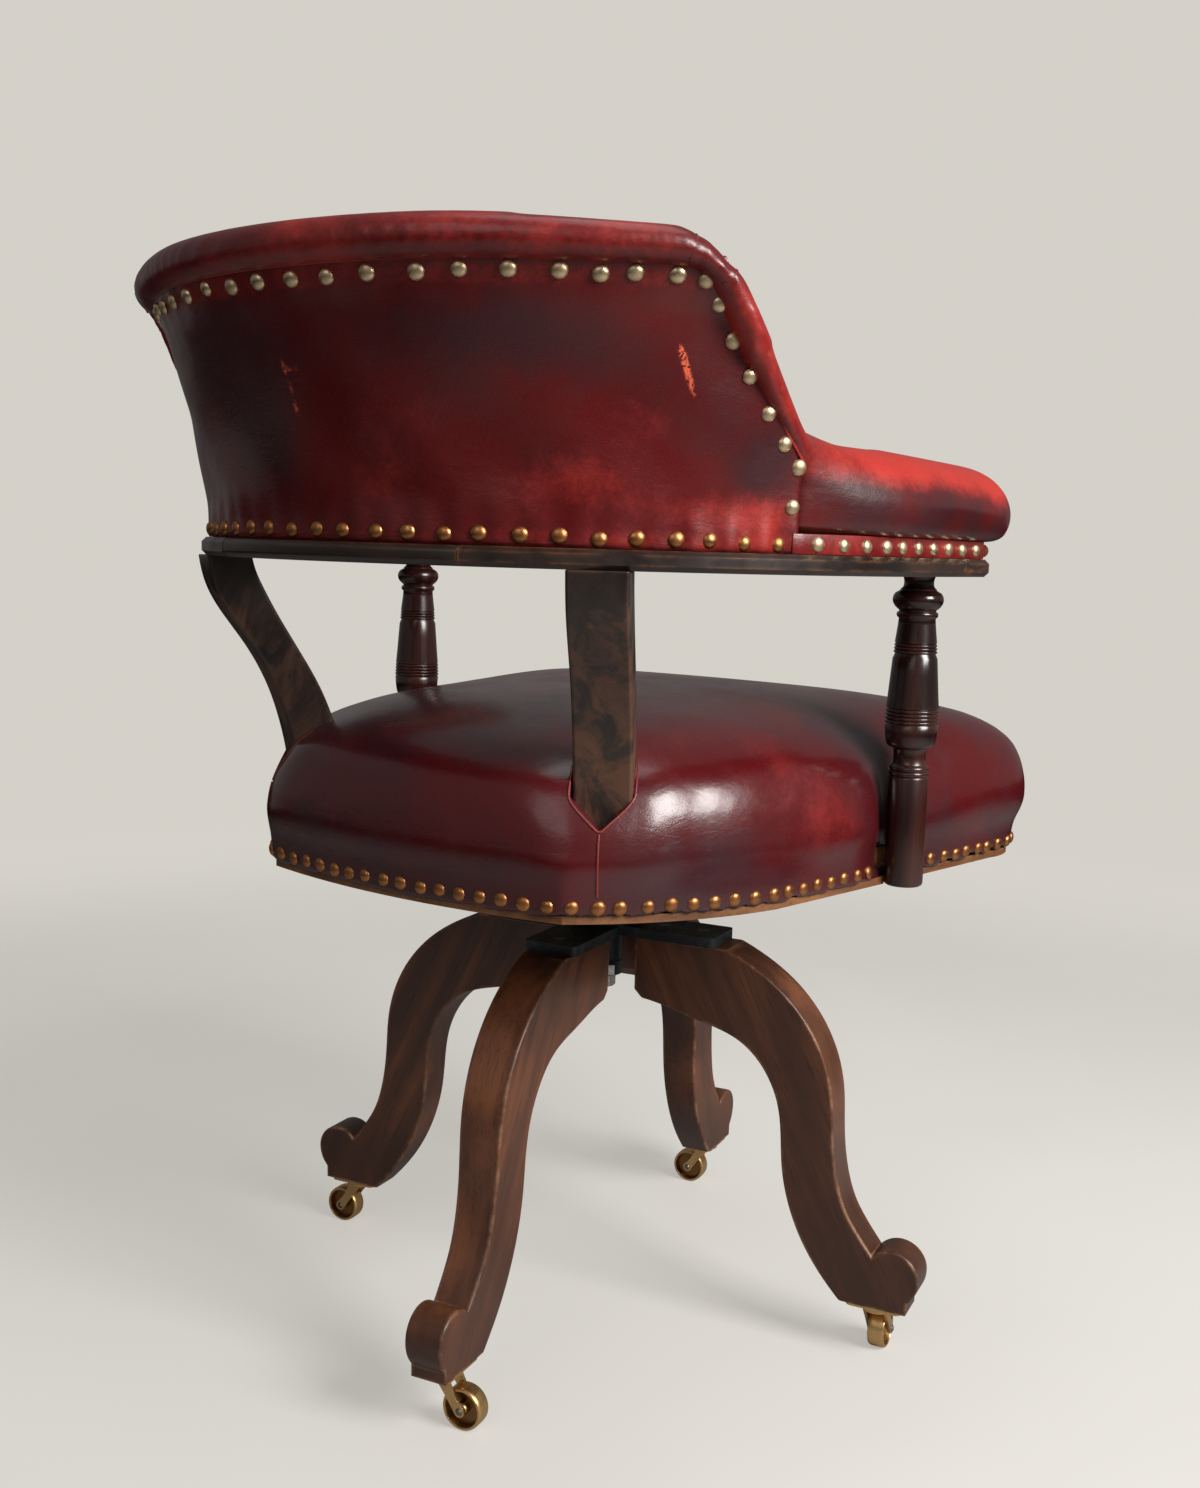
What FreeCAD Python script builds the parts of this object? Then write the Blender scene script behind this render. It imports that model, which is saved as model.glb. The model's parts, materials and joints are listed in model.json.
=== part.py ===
"""Bankers swivel chair: horseshoe arm rail, sprung leather seat, four-leg swivel base on casters.

Lengths are millimetres. The origin is on the floor, under the swivel axis. +Z is up, the sitter
faces -Y and the sitter's right hand is on the -X side.
"""
import math
import os

import FreeCAD
import Part

Vec = FreeCAD.Vector
UP = Vec(0, 0, 1)
SIDES = (("right", -1), ("left", 1))

# Clearances
SEATED = 0.1
RUNNING = 0.05
PAD_GAP = 0.3

# Swivel base: four legs on a cross, turned under the seat as the chair was left standing
LEG_TURN = 10.0
LEG_NAMES = ("rear", "right", "front", "left")
LEG_THICKNESS_TOP = 38.0
LEG_THICKNESS_FOOT = 28.0
LEG_ROOT_X = 34.0
LEG_TOP_Z = 307.0
LEG_ROOT_DEPTH = 50.0
LEG_ROOT_BEVEL = 7.0
SHOULDER_X = 112.0
KNEE_X = 201.0
KNEE_Z = 205.0
KNEE_DEPTH = 44.0
ANKLE_Z = 140.0
ANKLE_X = 209.0
ANKLE_DEPTH = 46.0
CROOK_X = 238.0
CROOK_Z = 84.0
TOE_X = 274.0
TOE_Z = 75.0
TOE_ROLL_TOP_Z = 91.0
NIB_X = 266.0
HEEL_X = 213.0
FOOT_Z = 42.5
LEG_EDGE_CHAMFER = 1.2

# Iron cross that joins the legs, with its boss and sleeve
CROSS_THICKNESS = 8.0
CROSS_ARM_WIDTH = 44.0
CROSS_ARM_CORNER = 4.0
CROSS_REACH = 102.0
BOSS_RADIUS_LOW = 32.0
BOSS_RADIUS_TOP = 25.0
BOSS_HEIGHT = 23.0
SLEEVE_RADIUS = 12.5
SLEEVE_LENGTH = 26.0
CROSS_SCREW_RADII = (52.0, 84.0)

# Wood screws
SCREW_SHANK_RADIUS = 2.3
SCREW_HEAD_RADIUS = 4.6
SCREW_HEAD_DEPTH = 2.6
SCREW_LENGTH = 24.0

# Casters
CASTER_X = 240.0
CASTER_TURNS = (90.0, 90.0, 90.0, 0.0)
CASTER_TRAIL = 15.0
WHEEL_RADIUS = 15.5
WHEEL_WIDTH = 13.0
WHEEL_RIM = 2.2
WHEEL_DISH = 3.4
WHEEL_CROWN = 0.9
WHEEL_HUB_RADIUS = 5.0
AXLE_RADIUS = 2.0
AXLE_HEAD = 1.2
CHEEK_THICKNESS = 2.2
CHEEK_GAP = 0.6
CHEEK_EYE_RADIUS = 4.2
CHEEK_TOP_WIDTH = 12.0
CROWN_RADIUS = 11.0
CROWN_THICKNESS = 3.2
STEM_RADIUS = 4.0
STEM_LENGTH = 26.0
STEM_TIP_GAP = 1.0
PLATE_THICKNESS = 2.0
PLATE_LENGTH = 44.0
PLATE_WIDTH = 26.0
PLATE_CORNER = 5.0
SOCKET_RADIUS = 6.5
PLATE_SCREW_X = 16.5
PLATE_SCREW_LENGTH = 14.0
BEARING_GAP = 0.3

# Seat swivel
SPINDLE_RADIUS = 8.0
SPINDLE_FOOT_Z = 258.0
WASHER_RADIUS = 24.0
WASHER_THICKNESS = 3.0
COLLAR_RADIUS = 13.0
COLLAR_HEIGHT = 12.0
COLLAR_GAP = 0.3
COLLAR_BOLT_RADIUS = 2.5
COLLAR_BOLT_HEAD = 4.0
COLLAR_BOLT_LENGTH = 11.0
COLLAR_BOLT_TURN = 135.0
SPIDER_THICKNESS = 8.0
SPIDER_ARM_WIDTH = 34.0
SPIDER_REACH = 112.0
SPIDER_HUB_RADIUS = 26.0
SPIDER_SCREW_OFFSET = 60.0

# Seat frame: plan outline of the left half, mirrored for the right
FRAME_UNDERSIDE_Z = 374.0
FRAME_THICKNESS = 26.0
HOLLOW_FRONT = (168.0, -196.0)
HOLLOW_BACK = (112.0, 178.0)
HOLLOW_CORNER = 30.0
FRAME_LIP_HEIGHT = 5.5
FRAME_LIP_WIDTH = 6.0
SEAT_BACK_Y = 254.0
SEAT_BACK_CORNER = (133.0, 238.0)
SEAT_BACK_TURN = (179.0, 184.0)
SEAT_SIDE_REAR = (214.0, 105.0)
SEAT_SIDE_MID = (231.5, -20.0)
SEAT_SIDE_FRONT = (252.0, -178.0)
SEAT_FRONT_TURN = (241.0, -231.0)
SEAT_FRONT_CORNER = (195.0, -250.0)
SEAT_FRONT_Y = -266.0
BATTEN_X = 60.0
BATTEN_WIDTH = 44.0
BATTEN_THICKNESS = 20.0
WEB_THICKNESS = 1.6
WEB_WIDTH = 50.0
WEB_PITCH = 84.0
WEB_COUNT = 5

# Seat pad: domed, drawn down over the frame to its lip
PAD_CROWN_Z = 504.0
# Each ring of the pad: its share of the frame's outline, and its share of the pad's height
PAD_RINGS = (
    (1.012, 0.0),
    (1.028, 0.25),
    (1.024, 0.50),
    (0.985, 0.70),
    (0.860, 0.84),
    (0.620, 0.945),
    (0.300, 1.0),
)
PAD_CENTRE_Y = -6.0
STUMP_WINDOW_TIP_Z = 436.0
STUMP_WINDOW_SHOULDER_Z = 453.0

# Horseshoe rail
RAIL_CENTRE_Y = 54.5
RAIL_OUTER_RADIUS = 279.0
RAIL_WIDTH = 64.0
RAIL_UNDERSIDE_Z = 601.0
RAIL_THICKNESS = 12.7
RAIL_EASING = 3.2
RAIL_FRONT_Y = -80.0
RAIL_END_ROUNDING = 9.0
RAIL_JOINT_X = 104.0

# Turned arm posts
POST_X = 243.5
POST_Y = -32.0
POST_RADIUS = 14.2
POST_FOOT_Z = 374.0
POST_TENON_RADIUS = 7.0
POST_TENON_LENGTH = 9.0
POST_SCREW_Z = 387.0
# Profile of a post: radii, and distances below the rail
POST_NECK_RADIUS = 10.8
POST_NECK_LENGTH = 8.5
POST_BULB_RADIUS = 18.1
POST_BULB_END = 26.5
POST_RING_RADIUS = 14.6
POST_RING_HEIGHT = 4.5
POST_SHAFT_TOP_RADIUS = 15.3
POST_SHAFT_RADIUS = 19.5
POST_UPPER_BAND = 50.0
POST_LOWER_BAND = 97.0
POST_SHAFT_END = 125.0
POST_WAIST_RADIUS = 12.0
POST_WAIST_LENGTH = 13.5
POST_GROOVE_DEPTH = 1.2

# Curved stumps that carry the back of the rail
STUMP_TOP_RADIUS = 258.5
STUMP_TOP_ANGLE = 40.0
STUMP_TURN = 29.5
STUMP_WIDTH = 39.0
# Both faces of a stump: outward distance from its top's centre, and share of its height
STUMP_OUTER_FACE = ((20.0, 1.0), (15.0, 0.896), (-10.0, 0.70), (-35.0, 0.463), (-45.0, 0.27), (-45.0, 0.0))
STUMP_INNER_FACE = ((-12.0, 1.0), (-19.0, 0.90), (-41.0, 0.706), (-65.0, 0.4975), (-77.0, 0.33), (-80.0, 0.0))
STUMP_CHAMFER = 1.5
STUMP_TENON_WIDTH = 22.0
STUMP_TENON_THICKNESS = 18.0
STUMP_TENON_LENGTH = 14.0

# Upholstered back
BACK_ANGLE = 65.2
BACK_FOOT_RADIUS = 273.0
BACK_MID_RADIUS = 283.0
BACK_MID_Z = RAIL_UNDERSIDE_Z + 89.0
BACK_TOP_RADIUS = 312.0
BACK_TOP_Z = RAIL_UNDERSIDE_Z + 175.0
BACK_STEPS = 5
LEATHER_THICKNESS = 2.5
BACK_BOARD_THICKNESS = 14.0
BACK_INNER_FOOT = 222.0
BACK_INNER_MID = 229.0
BACK_INNER_TOP = 264.0
BACK_PAD_TOP_Z = RAIL_UNDERSIDE_Z + 191.0
BACK_SLOPE_TOP_ANGLE = 50.5
BACK_SLOPE_FOOT_Z = RAIL_UNDERSIDE_Z + 63.0
ROLL_RADIUS = 15.5
ROLL_PATH_RADIUS = 310.0
ROLL_Z = RAIL_UNDERSIDE_Z + 183.5
ROLL_SHOULDER_ANGLE = 45.0
# Points of the falling ends of the roll: radius, angle from the back, height above the rail's foot
ROLL_DROP = ((305.5, 52.5, 162.0), (293.0, 58.5, 116.0), (267.0, 68.0, 67.0))

# Padded arms
ARM_BOARD_THICKNESS = 12.5
ARM_BOARD_INSET = 5.0
ARM_PAD_HALF_WIDTH = 43.0
ARM_PAD_TOP_Z = RAIL_UNDERSIDE_Z + 83.0
ARM_PAD_SIDE_Z = RAIL_UNDERSIDE_Z + 47.0
ARM_PAD_STEPS = 8
ARM_PAD_START = 65.6
ARM_PAD_END_Y = -70.0


def solid_disc(radius, z_low, z_high, x=0.0, y=0.0):
    return Part.makeCylinder(radius, z_high - z_low, Vec(x, y, z_low), UP)


def turned(shape, degrees, centre=Vec(0, 0, 0)):
    result = shape.copy()
    result.rotate(centre, UP, degrees)
    return result


def mirrored(shape):
    return shape.mirror(Vec(0, 0, 0), Vec(1, 0, 0))


def on_side(shape, side):
    return shape if side > 0 else mirrored(shape)


def polar(radius, angle, z):
    """Point about the rail's centre; the angle opens from the back (+Y) towards +X."""
    theta = math.radians(angle)
    return Vec(radius * math.sin(theta), RAIL_CENTRE_Y + radius * math.cos(theta), z)


def arc(start, middle, end):
    return Part.Arc(start, middle, end).toShape()


def spline(points, start_tangent=None, end_tangent=None):
    curve = Part.BSplineCurve()
    if start_tangent is None:
        curve.interpolate(points)
    else:
        curve.interpolate(Points=points, InitialTangent=start_tangent, FinalTangent=end_tangent)
    return curve.toShape()


def wire_of(edges):
    return Part.Wire(Part.__sortEdges__(edges))


def line(start, end):
    return Part.makeLine(start, end)


def chain(points):
    return [line(a, b) for a, b in zip(points, points[1:])]


def swept_profile(points_or_edges, angle_from, angle_to):
    """Turn a closed profile, drawn in the plane x = 0 behind the rail's centre, about that centre."""
    face = Part.Face(wire_of(points_or_edges))
    face.rotate(Vec(0, RAIL_CENTRE_Y, 0), UP, -angle_from)
    return face.revolve(Vec(0, RAIL_CENTRE_Y, 0), UP, -(angle_to - angle_from))


def behind(radius, z):
    return Vec(0, RAIL_CENTRE_Y + radius, z)


def wood_screw(length=SCREW_LENGTH):
    """Countersunk screw, its head's face at z = 0 and its end below."""
    outline = [
        Vec(0, 0, 0),
        Vec(SCREW_HEAD_RADIUS, 0, 0),
        Vec(SCREW_SHANK_RADIUS, 0, -SCREW_HEAD_DEPTH),
        Vec(SCREW_SHANK_RADIUS, 0, -length),
        Vec(0, 0, -length),
        Vec(0, 0, 0),
    ]
    return Part.Face(Part.makePolygon(outline)).revolve(Vec(0, 0, 0), UP, 360)


def screw_bore(length=SCREW_LENGTH):
    """Room for the same screw, with the seated clearance all round."""
    outline = [
        Vec(0, 0, SEATED),
        Vec(SCREW_HEAD_RADIUS + SEATED, 0, SEATED),
        Vec(SCREW_HEAD_RADIUS + SEATED, 0, 0),
        Vec(SCREW_SHANK_RADIUS + SEATED, 0, -SCREW_HEAD_DEPTH),
        Vec(SCREW_SHANK_RADIUS + SEATED, 0, -length - SEATED),
        Vec(0, 0, -length - SEATED),
        Vec(0, 0, SEATED),
    ]
    return Part.Face(Part.makePolygon(outline)).revolve(Vec(0, 0, 0), UP, 360)


def placed(shape, x, y, z, upside_down=False):
    result = shape.copy()
    if upside_down:
        result.rotate(Vec(0, 0, 0), Vec(1, 0, 0), 180)
    result.translate(Vec(x, y, z))
    return result


def leg_blank():
    """One leg along +X: a flat shoulder, a square knee and a scrolled toe, cut from a board."""
    heel = Vec(HEEL_X, 0, FOOT_Z)
    nib = Vec(NIB_X, 0, FOOT_Z)
    nib_top = Vec(NIB_X, 0, FOOT_Z + 9.0)
    toe = Vec(TOE_X, 0, TOE_Z)
    crook = Vec(CROOK_X, 0, CROOK_Z)
    shoulder = Vec(SHOULDER_X, 0, LEG_TOP_Z)
    root_top = Vec(LEG_ROOT_X, 0, LEG_TOP_Z)
    root_low = Vec(LEG_ROOT_X, 0, LEG_TOP_Z - LEG_ROOT_DEPTH + LEG_ROOT_BEVEL)
    root_bevel = Vec(LEG_ROOT_X + LEG_ROOT_BEVEL, 0, LEG_TOP_Z - LEG_ROOT_DEPTH)
    knee_inside = Vec(KNEE_X - KNEE_DEPTH, 0, KNEE_Z - 13.0)
    ankle_inside = Vec(ANKLE_X - ANKLE_DEPTH, 0, ANKLE_Z)
    outer = spline(
        [
            shoulder,
            Vec((SHOULDER_X + KNEE_X) / 2 + 2.0, 0, LEG_TOP_Z - 27.0),
            Vec(KNEE_X - 13.0, 0, KNEE_Z + 39.0),
            Vec(KNEE_X, 0, KNEE_Z),
            Vec(ANKLE_X - 5.0, 0, ANKLE_Z + 25.0),
            Vec(ANKLE_X + 3.0, 0, ANKLE_Z - 15.0),
            crook,
        ],
        Vec(1, 0, -0.42),
        Vec(0.62, 0, -0.78),
    )
    inner = spline(
        [
            root_bevel,
            Vec((SHOULDER_X + root_bevel.x) / 2 + 10.0, 0, root_bevel.z - 10.0),
            Vec(knee_inside.x - 32.0, 0, knee_inside.z + 43.0),
            knee_inside,
            ankle_inside,
            Vec(ANKLE_X - ANKLE_DEPTH + 15.0, 0, ANKLE_Z - 50.0),
            heel,
        ],
        Vec(1, 0, -0.1),
        Vec(0.7, 0, -0.71),
    )
    scroll = arc(crook, Vec((CROOK_X + TOE_X) / 2 + 1.0, 0, TOE_ROLL_TOP_Z), toe)
    under_toe = arc(toe, Vec(TOE_X - 1.2, 0, FOOT_Z + 19.0), nib_top)
    edges = [outer, scroll, under_toe, line(nib_top, nib), line(nib, heel), inner]
    edges += chain([root_bevel, root_low, root_top, shoulder])
    face = Part.Face(wire_of(edges))
    blank = face.extrude(Vec(0, LEG_THICKNESS_TOP, 0))
    blank.translate(Vec(0, -LEG_THICKNESS_TOP / 2, 0))
    blank = blank.common(leg_taper())
    long_edges = [
        edge
        for edge in blank.Edges
        if min(abs(vertex.Point.y) for vertex in edge.Vertexes) > LEG_THICKNESS_FOOT / 2 - 1.0
        and abs(edge.CenterOfMass.y) > LEG_THICKNESS_FOOT / 2 - 1.0
        and edge.CenterOfMass.x > SHOULDER_X - 2.0
        and edge.CenterOfMass.z > FOOT_Z + 12.0
    ]
    return blank.makeChamfer(LEG_EDGE_CHAMFER, long_edges)


def leg_taper():
    """Wedge that thins a leg evenly from its shoulder to its foot."""
    top = LEG_THICKNESS_TOP / 2
    foot = LEG_THICKNESS_FOOT / 2
    section = Part.makePolygon(
        [
            Vec(0, -foot, FOOT_Z),
            Vec(0, foot, FOOT_Z),
            Vec(0, top, LEG_TOP_Z),
            Vec(0, -top, LEG_TOP_Z),
            Vec(0, -foot, FOOT_Z),
        ]
    )
    return Part.Face(section).extrude(Vec(TOE_X + 1.0, 0, 0))


def leg():
    body = leg_blank()
    socket_top = FOOT_Z + STEM_LENGTH + STEM_TIP_GAP + 2.0
    body = body.cut(
        solid_disc(SOCKET_RADIUS + SEATED, FOOT_Z - 1.0, socket_top + SEATED, CASTER_X, 0)
    )
    for radius in CROSS_SCREW_RADII:
        body = body.cut(placed(screw_bore(), radius, 0, LEG_TOP_Z + CROSS_THICKNESS))
    for offset in (-PLATE_SCREW_X, PLATE_SCREW_X):
        bore = screw_bore(PLATE_SCREW_LENGTH)
        body = body.cut(placed(bore, CASTER_X + offset, 0, FOOT_Z - PLATE_THICKNESS, True))
    return body


def base_cross():
    """Flat iron cross on the legs' shoulders, with a raised boss and a sleeve between the legs."""
    low = LEG_TOP_Z
    high = low + CROSS_THICKNESS
    arm = Part.makeBox(
        CROSS_REACH, CROSS_ARM_WIDTH, CROSS_THICKNESS, Vec(0, -CROSS_ARM_WIDTH / 2, low)
    )
    ends = [
        edge
        for edge in arm.Edges
        if abs(edge.CenterOfMass.x - CROSS_REACH) < 0.01
        and abs(edge.CenterOfMass.z - low - CROSS_THICKNESS / 2) < 0.01
    ]
    arm = arm.makeFillet(CROSS_ARM_CORNER, ends)
    body = arm.multiFuse([turned(arm, 90 * index) for index in range(1, 4)])
    boss = Part.makeCone(BOSS_RADIUS_LOW, BOSS_RADIUS_TOP, BOSS_HEIGHT, Vec(0, 0, high), UP)
    sleeve = solid_disc(SLEEVE_RADIUS, low - SLEEVE_LENGTH, low)
    body = body.multiFuse([boss, sleeve]).removeSplitter()
    bore = solid_disc(SPINDLE_RADIUS + RUNNING, low - SLEEVE_LENGTH - 1, high + BOSS_HEIGHT + 1)
    body = body.cut(bore)
    for index in range(4):
        for radius in CROSS_SCREW_RADII:
            body = body.cut(turned(placed(screw_bore(), radius, 0, high), 90 * index))
    return body


def caster_plate():
    """Brass plate let flat against the foot, with the tube that takes the caster's stem."""
    low = FOOT_Z - PLATE_THICKNESS
    plate = Part.makeBox(
        PLATE_LENGTH,
        PLATE_WIDTH,
        PLATE_THICKNESS,
        Vec(CASTER_X - PLATE_LENGTH / 2, -PLATE_WIDTH / 2, low),
    )
    corners = [edge for edge in plate.Edges if abs(edge.CenterOfMass.z - low - PLATE_THICKNESS / 2) < 0.01]
    plate = plate.makeFillet(PLATE_CORNER, corners)
    socket_top = FOOT_Z + STEM_LENGTH + STEM_TIP_GAP + 2.0
    body = plate.fuse(solid_disc(SOCKET_RADIUS, low, socket_top, CASTER_X, 0)).removeSplitter()
    stem_room = solid_disc(
        STEM_RADIUS + RUNNING, low - 1.0, FOOT_Z + STEM_LENGTH + STEM_TIP_GAP, CASTER_X, 0
    )
    body = body.cut(stem_room)
    for offset in (-PLATE_SCREW_X, PLATE_SCREW_X):
        bore = screw_bore(PLATE_SCREW_LENGTH)
        body = body.cut(placed(bore, CASTER_X + offset, 0, low, True))
    return body


def caster_cheek():
    """One curved cheek in the plane y = 0, from under the crown down and back to the axle."""
    crown_low = crown_underside()
    half_top = CHEEK_TOP_WIDTH / 2
    axle = Vec(CASTER_TRAIL, 0, WHEEL_RADIUS)
    front_top = Vec(-half_top, 0, crown_low)
    back_top = Vec(half_top, 0, crown_low)
    slope = math.radians(40)
    across = Vec(-math.cos(slope), 0, -math.sin(slope)) * CHEEK_EYE_RADIUS
    front_low = axle + across
    back_low = axle - across
    eye_tip = axle + Vec(math.sin(slope), 0, -math.cos(slope)) * CHEEK_EYE_RADIUS
    front_mid = (front_top + front_low) * 0.5 + Vec(1.0, 0, -0.6)
    back_mid = (back_top + back_low) * 0.5 + Vec(-2.0, 0, 0.4)
    edges = [
        arc(front_top, front_mid, front_low),
        arc(front_low, eye_tip, back_low),
        arc(back_low, back_mid, back_top),
        line(back_top, front_top),
    ]
    return Part.Face(wire_of(edges)).extrude(Vec(0, CHEEK_THICKNESS, 0))


def crown_underside():
    return FOOT_Z - PLATE_THICKNESS - BEARING_GAP - CROWN_THICKNESS


def caster_fork():
    """Crown, stem and two cheeks in one brass casting, trailing along +X from its own stem."""
    crown_low = crown_underside()
    crown_high = crown_low + CROWN_THICKNESS
    crown = solid_disc(CROWN_RADIUS, crown_low, crown_high)
    stem = solid_disc(STEM_RADIUS, crown_low, FOOT_Z + STEM_LENGTH)
    inside = WHEEL_WIDTH / 2 + CHEEK_GAP
    cheek = caster_cheek()
    near = placed(cheek, 0, inside, 0)
    far = placed(cheek, 0, -inside - CHEEK_THICKNESS, 0)
    body = crown.multiFuse([stem, near, far]).removeSplitter()
    axle_hole = Part.makeCylinder(
        AXLE_RADIUS + SEATED / 2,
        2 * (inside + CHEEK_THICKNESS) + 2,
        Vec(CASTER_TRAIL, -inside - CHEEK_THICKNESS - 1, WHEEL_RADIUS),
        Vec(0, 1, 0),
    )
    return body.cut(axle_hole)


def caster_axle():
    half = WHEEL_WIDTH / 2 + CHEEK_GAP + CHEEK_THICKNESS
    start = Vec(CASTER_TRAIL, -half, WHEEL_RADIUS)
    pin = Part.makeCylinder(AXLE_RADIUS, 2 * half, start, Vec(0, 1, 0))
    heads = []
    for sign in (-1, 1):
        base = Vec(CASTER_TRAIL, sign * half, WHEEL_RADIUS)
        heads.append(
            Part.makeCone(AXLE_RADIUS + 0.8, AXLE_RADIUS - 0.3, AXLE_HEAD, base, Vec(0, sign, 0))
        )
    return pin.multiFuse(heads).removeSplitter()


def caster_wheel():
    """Brass wheel dished on both faces, with an eased tread and a bored hub."""
    half = WHEEL_WIDTH / 2
    web_half = half - WHEEL_DISH
    rim_inside = WHEEL_RADIUS - WHEEL_RIM
    bore = AXLE_RADIUS + RUNNING
    points = [
        Vec(bore, half, 0),
        Vec(WHEEL_HUB_RADIUS, half, 0),
        Vec(WHEEL_HUB_RADIUS, web_half, 0),
        Vec(rim_inside, web_half, 0),
        Vec(rim_inside, half, 0),
        Vec(WHEEL_RADIUS - WHEEL_CROWN, half, 0),
        Vec(WHEEL_RADIUS, half - 2 * WHEEL_CROWN, 0),
    ]
    flipped = [Vec(point.x, -point.y, 0) for point in reversed(points)]
    outline = Part.makePolygon(points + flipped + [points[0]])
    wheel = Part.Face(outline).revolve(Vec(0, 0, 0), Vec(0, 1, 0), 360)
    wheel.translate(Vec(CASTER_TRAIL, 0, WHEEL_RADIUS))
    return wheel


def at_caster(shape, index):
    result = turned(shape, CASTER_TURNS[index])
    result.translate(Vec(CASTER_X, 0, 0))
    return turned(result, leg_angle(index))


def leg_angle(index):
    return 90.0 + LEG_TURN + 90.0 * index


def washer_low():
    return LEG_TOP_Z + CROSS_THICKNESS + BOSS_HEIGHT


def thrust_washer():
    low = washer_low()
    ring = solid_disc(WASHER_RADIUS, low, low + WASHER_THICKNESS)
    return ring.cut(solid_disc(SPINDLE_RADIUS + RUNNING, low - 1, low + WASHER_THICKNESS + 1))


def spider_plate_low():
    return FRAME_UNDERSIDE_Z - SPIDER_THICKNESS


def seat_spider():
    """Diagonal iron cross under the seat's battens, its hub standing on the thrust washer."""
    low = spider_plate_low()
    arm = Part.makeBox(
        2 * SPIDER_REACH,
        SPIDER_ARM_WIDTH,
        SPIDER_THICKNESS,
        Vec(-SPIDER_REACH, -SPIDER_ARM_WIDTH / 2, low),
    )
    ends = [edge for edge in arm.Edges if abs(edge.CenterOfMass.z - low - SPIDER_THICKNESS / 2) < 0.01]
    arm = arm.makeFillet(SPIDER_ARM_WIDTH / 3, ends)
    hub_low = washer_low() + WASHER_THICKNESS + 0.02
    hub = solid_disc(SPIDER_HUB_RADIUS, hub_low, low)
    hub = hub.makeChamfer(2.0, [edge for edge in hub.Edges if abs(edge.CenterOfMass.z - hub_low) < 0.01])
    body = turned(arm, 45).multiFuse([turned(arm, -45), hub]).removeSplitter()
    body = body.cut(solid_disc(SPINDLE_RADIUS + SEATED / 2, hub_low - 1, FRAME_UNDERSIDE_Z + 1))
    for x in (-SPIDER_SCREW_OFFSET, SPIDER_SCREW_OFFSET):
        for y in (-SPIDER_SCREW_OFFSET, SPIDER_SCREW_OFFSET):
            body = body.cut(placed(screw_bore(), x, y, low, True))
    return body


def swivel_spindle():
    top = FRAME_UNDERSIDE_Z
    shaft = solid_disc(SPINDLE_RADIUS, SPINDLE_FOOT_Z, top)
    foot = [edge for edge in shaft.Edges if abs(edge.CenterOfMass.z - SPINDLE_FOOT_Z) < 0.01]
    shaft = shaft.makeChamfer(1.5, foot)
    return shaft.cut(collar_bolt_hole())


def collar_top():
    return LEG_TOP_Z - SLEEVE_LENGTH - COLLAR_GAP


def collar_bolt_axis():
    theta = math.radians(COLLAR_BOLT_TURN)
    return Vec(math.cos(theta), math.sin(theta), 0)


def collar_bolt_origin():
    axis = collar_bolt_axis()
    middle = Vec(0, 0, collar_top() - COLLAR_HEIGHT / 2)
    return middle + axis * (COLLAR_RADIUS - COLLAR_BOLT_LENGTH)


def collar_bolt_hole():
    radius = COLLAR_BOLT_RADIUS + SEATED
    start = collar_bolt_origin() - collar_bolt_axis() * SEATED
    return Part.makeCylinder(radius, COLLAR_BOLT_LENGTH + 6, start, collar_bolt_axis())


def retaining_collar():
    high = collar_top()
    ring = solid_disc(COLLAR_RADIUS, high - COLLAR_HEIGHT, high)
    ring = ring.cut(solid_disc(SPINDLE_RADIUS + SEATED / 2, high - COLLAR_HEIGHT - 1, high + 1))
    return ring.cut(collar_bolt_hole())


def collar_bolt():
    """Square-headed set bolt through the collar into a dimple in the spindle."""
    axis = collar_bolt_axis()
    shank = Part.makeCylinder(
        COLLAR_BOLT_RADIUS, COLLAR_BOLT_LENGTH + 1, collar_bolt_origin(), axis
    )
    size = 2 * COLLAR_BOLT_HEAD
    head = Part.makeBox(COLLAR_BOLT_HEAD, size, size, Vec(0, -COLLAR_BOLT_HEAD, -COLLAR_BOLT_HEAD))
    head.rotate(Vec(0, 0, 0), UP, COLLAR_BOLT_TURN)
    head.translate(collar_bolt_origin() + axis * (COLLAR_BOLT_LENGTH + 0.4))
    return shank.fuse(head).removeSplitter()


def seat_spots():
    """Points round the whole seat, seen from above: each odd one ends one arc and starts the next."""
    left = [
        SEAT_BACK_CORNER,
        SEAT_BACK_TURN,
        SEAT_SIDE_REAR,
        SEAT_SIDE_MID,
        SEAT_SIDE_FRONT,
        SEAT_FRONT_TURN,
        SEAT_FRONT_CORNER,
    ]
    right = [(-x, y) for x, y in reversed(left)]
    return [(0.0, SEAT_BACK_Y)] + left + [(0.0, SEAT_FRONT_Y)] + right


def seat_outline(z, scale=1.0, inset=0.0):
    """The seat's plan as a closed wire of arcs: bowed back, turned corners, flared sides."""
    spots = [Vec(x, y, 0) for x, y in seat_spots()]
    moved = []
    for index, spot in enumerate(spots):
        ahead = spots[(index + 1) % len(spots)] - spot
        behind_it = spot - spots[index - 1]
        tangent = ahead.normalize() + behind_it.normalize()
        inward = Vec(tangent.y, -tangent.x, 0).normalize()
        place = spot + inward * inset
        moved.append(
            Vec(place.x * scale, PAD_CENTRE_Y + (place.y - PAD_CENTRE_Y) * scale, z)
        )
    edges = [
        arc(moved[index - 1], moved[index], moved[(index + 1) % len(moved)])
        for index in range(0, len(moved), 2)
    ]
    return Part.Wire(edges)


def seat_prism(inset, z_low, z_high):
    face = Part.Face(seat_outline(z_low, inset=inset))
    return face.extrude(Vec(0, 0, z_high - z_low))


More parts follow.
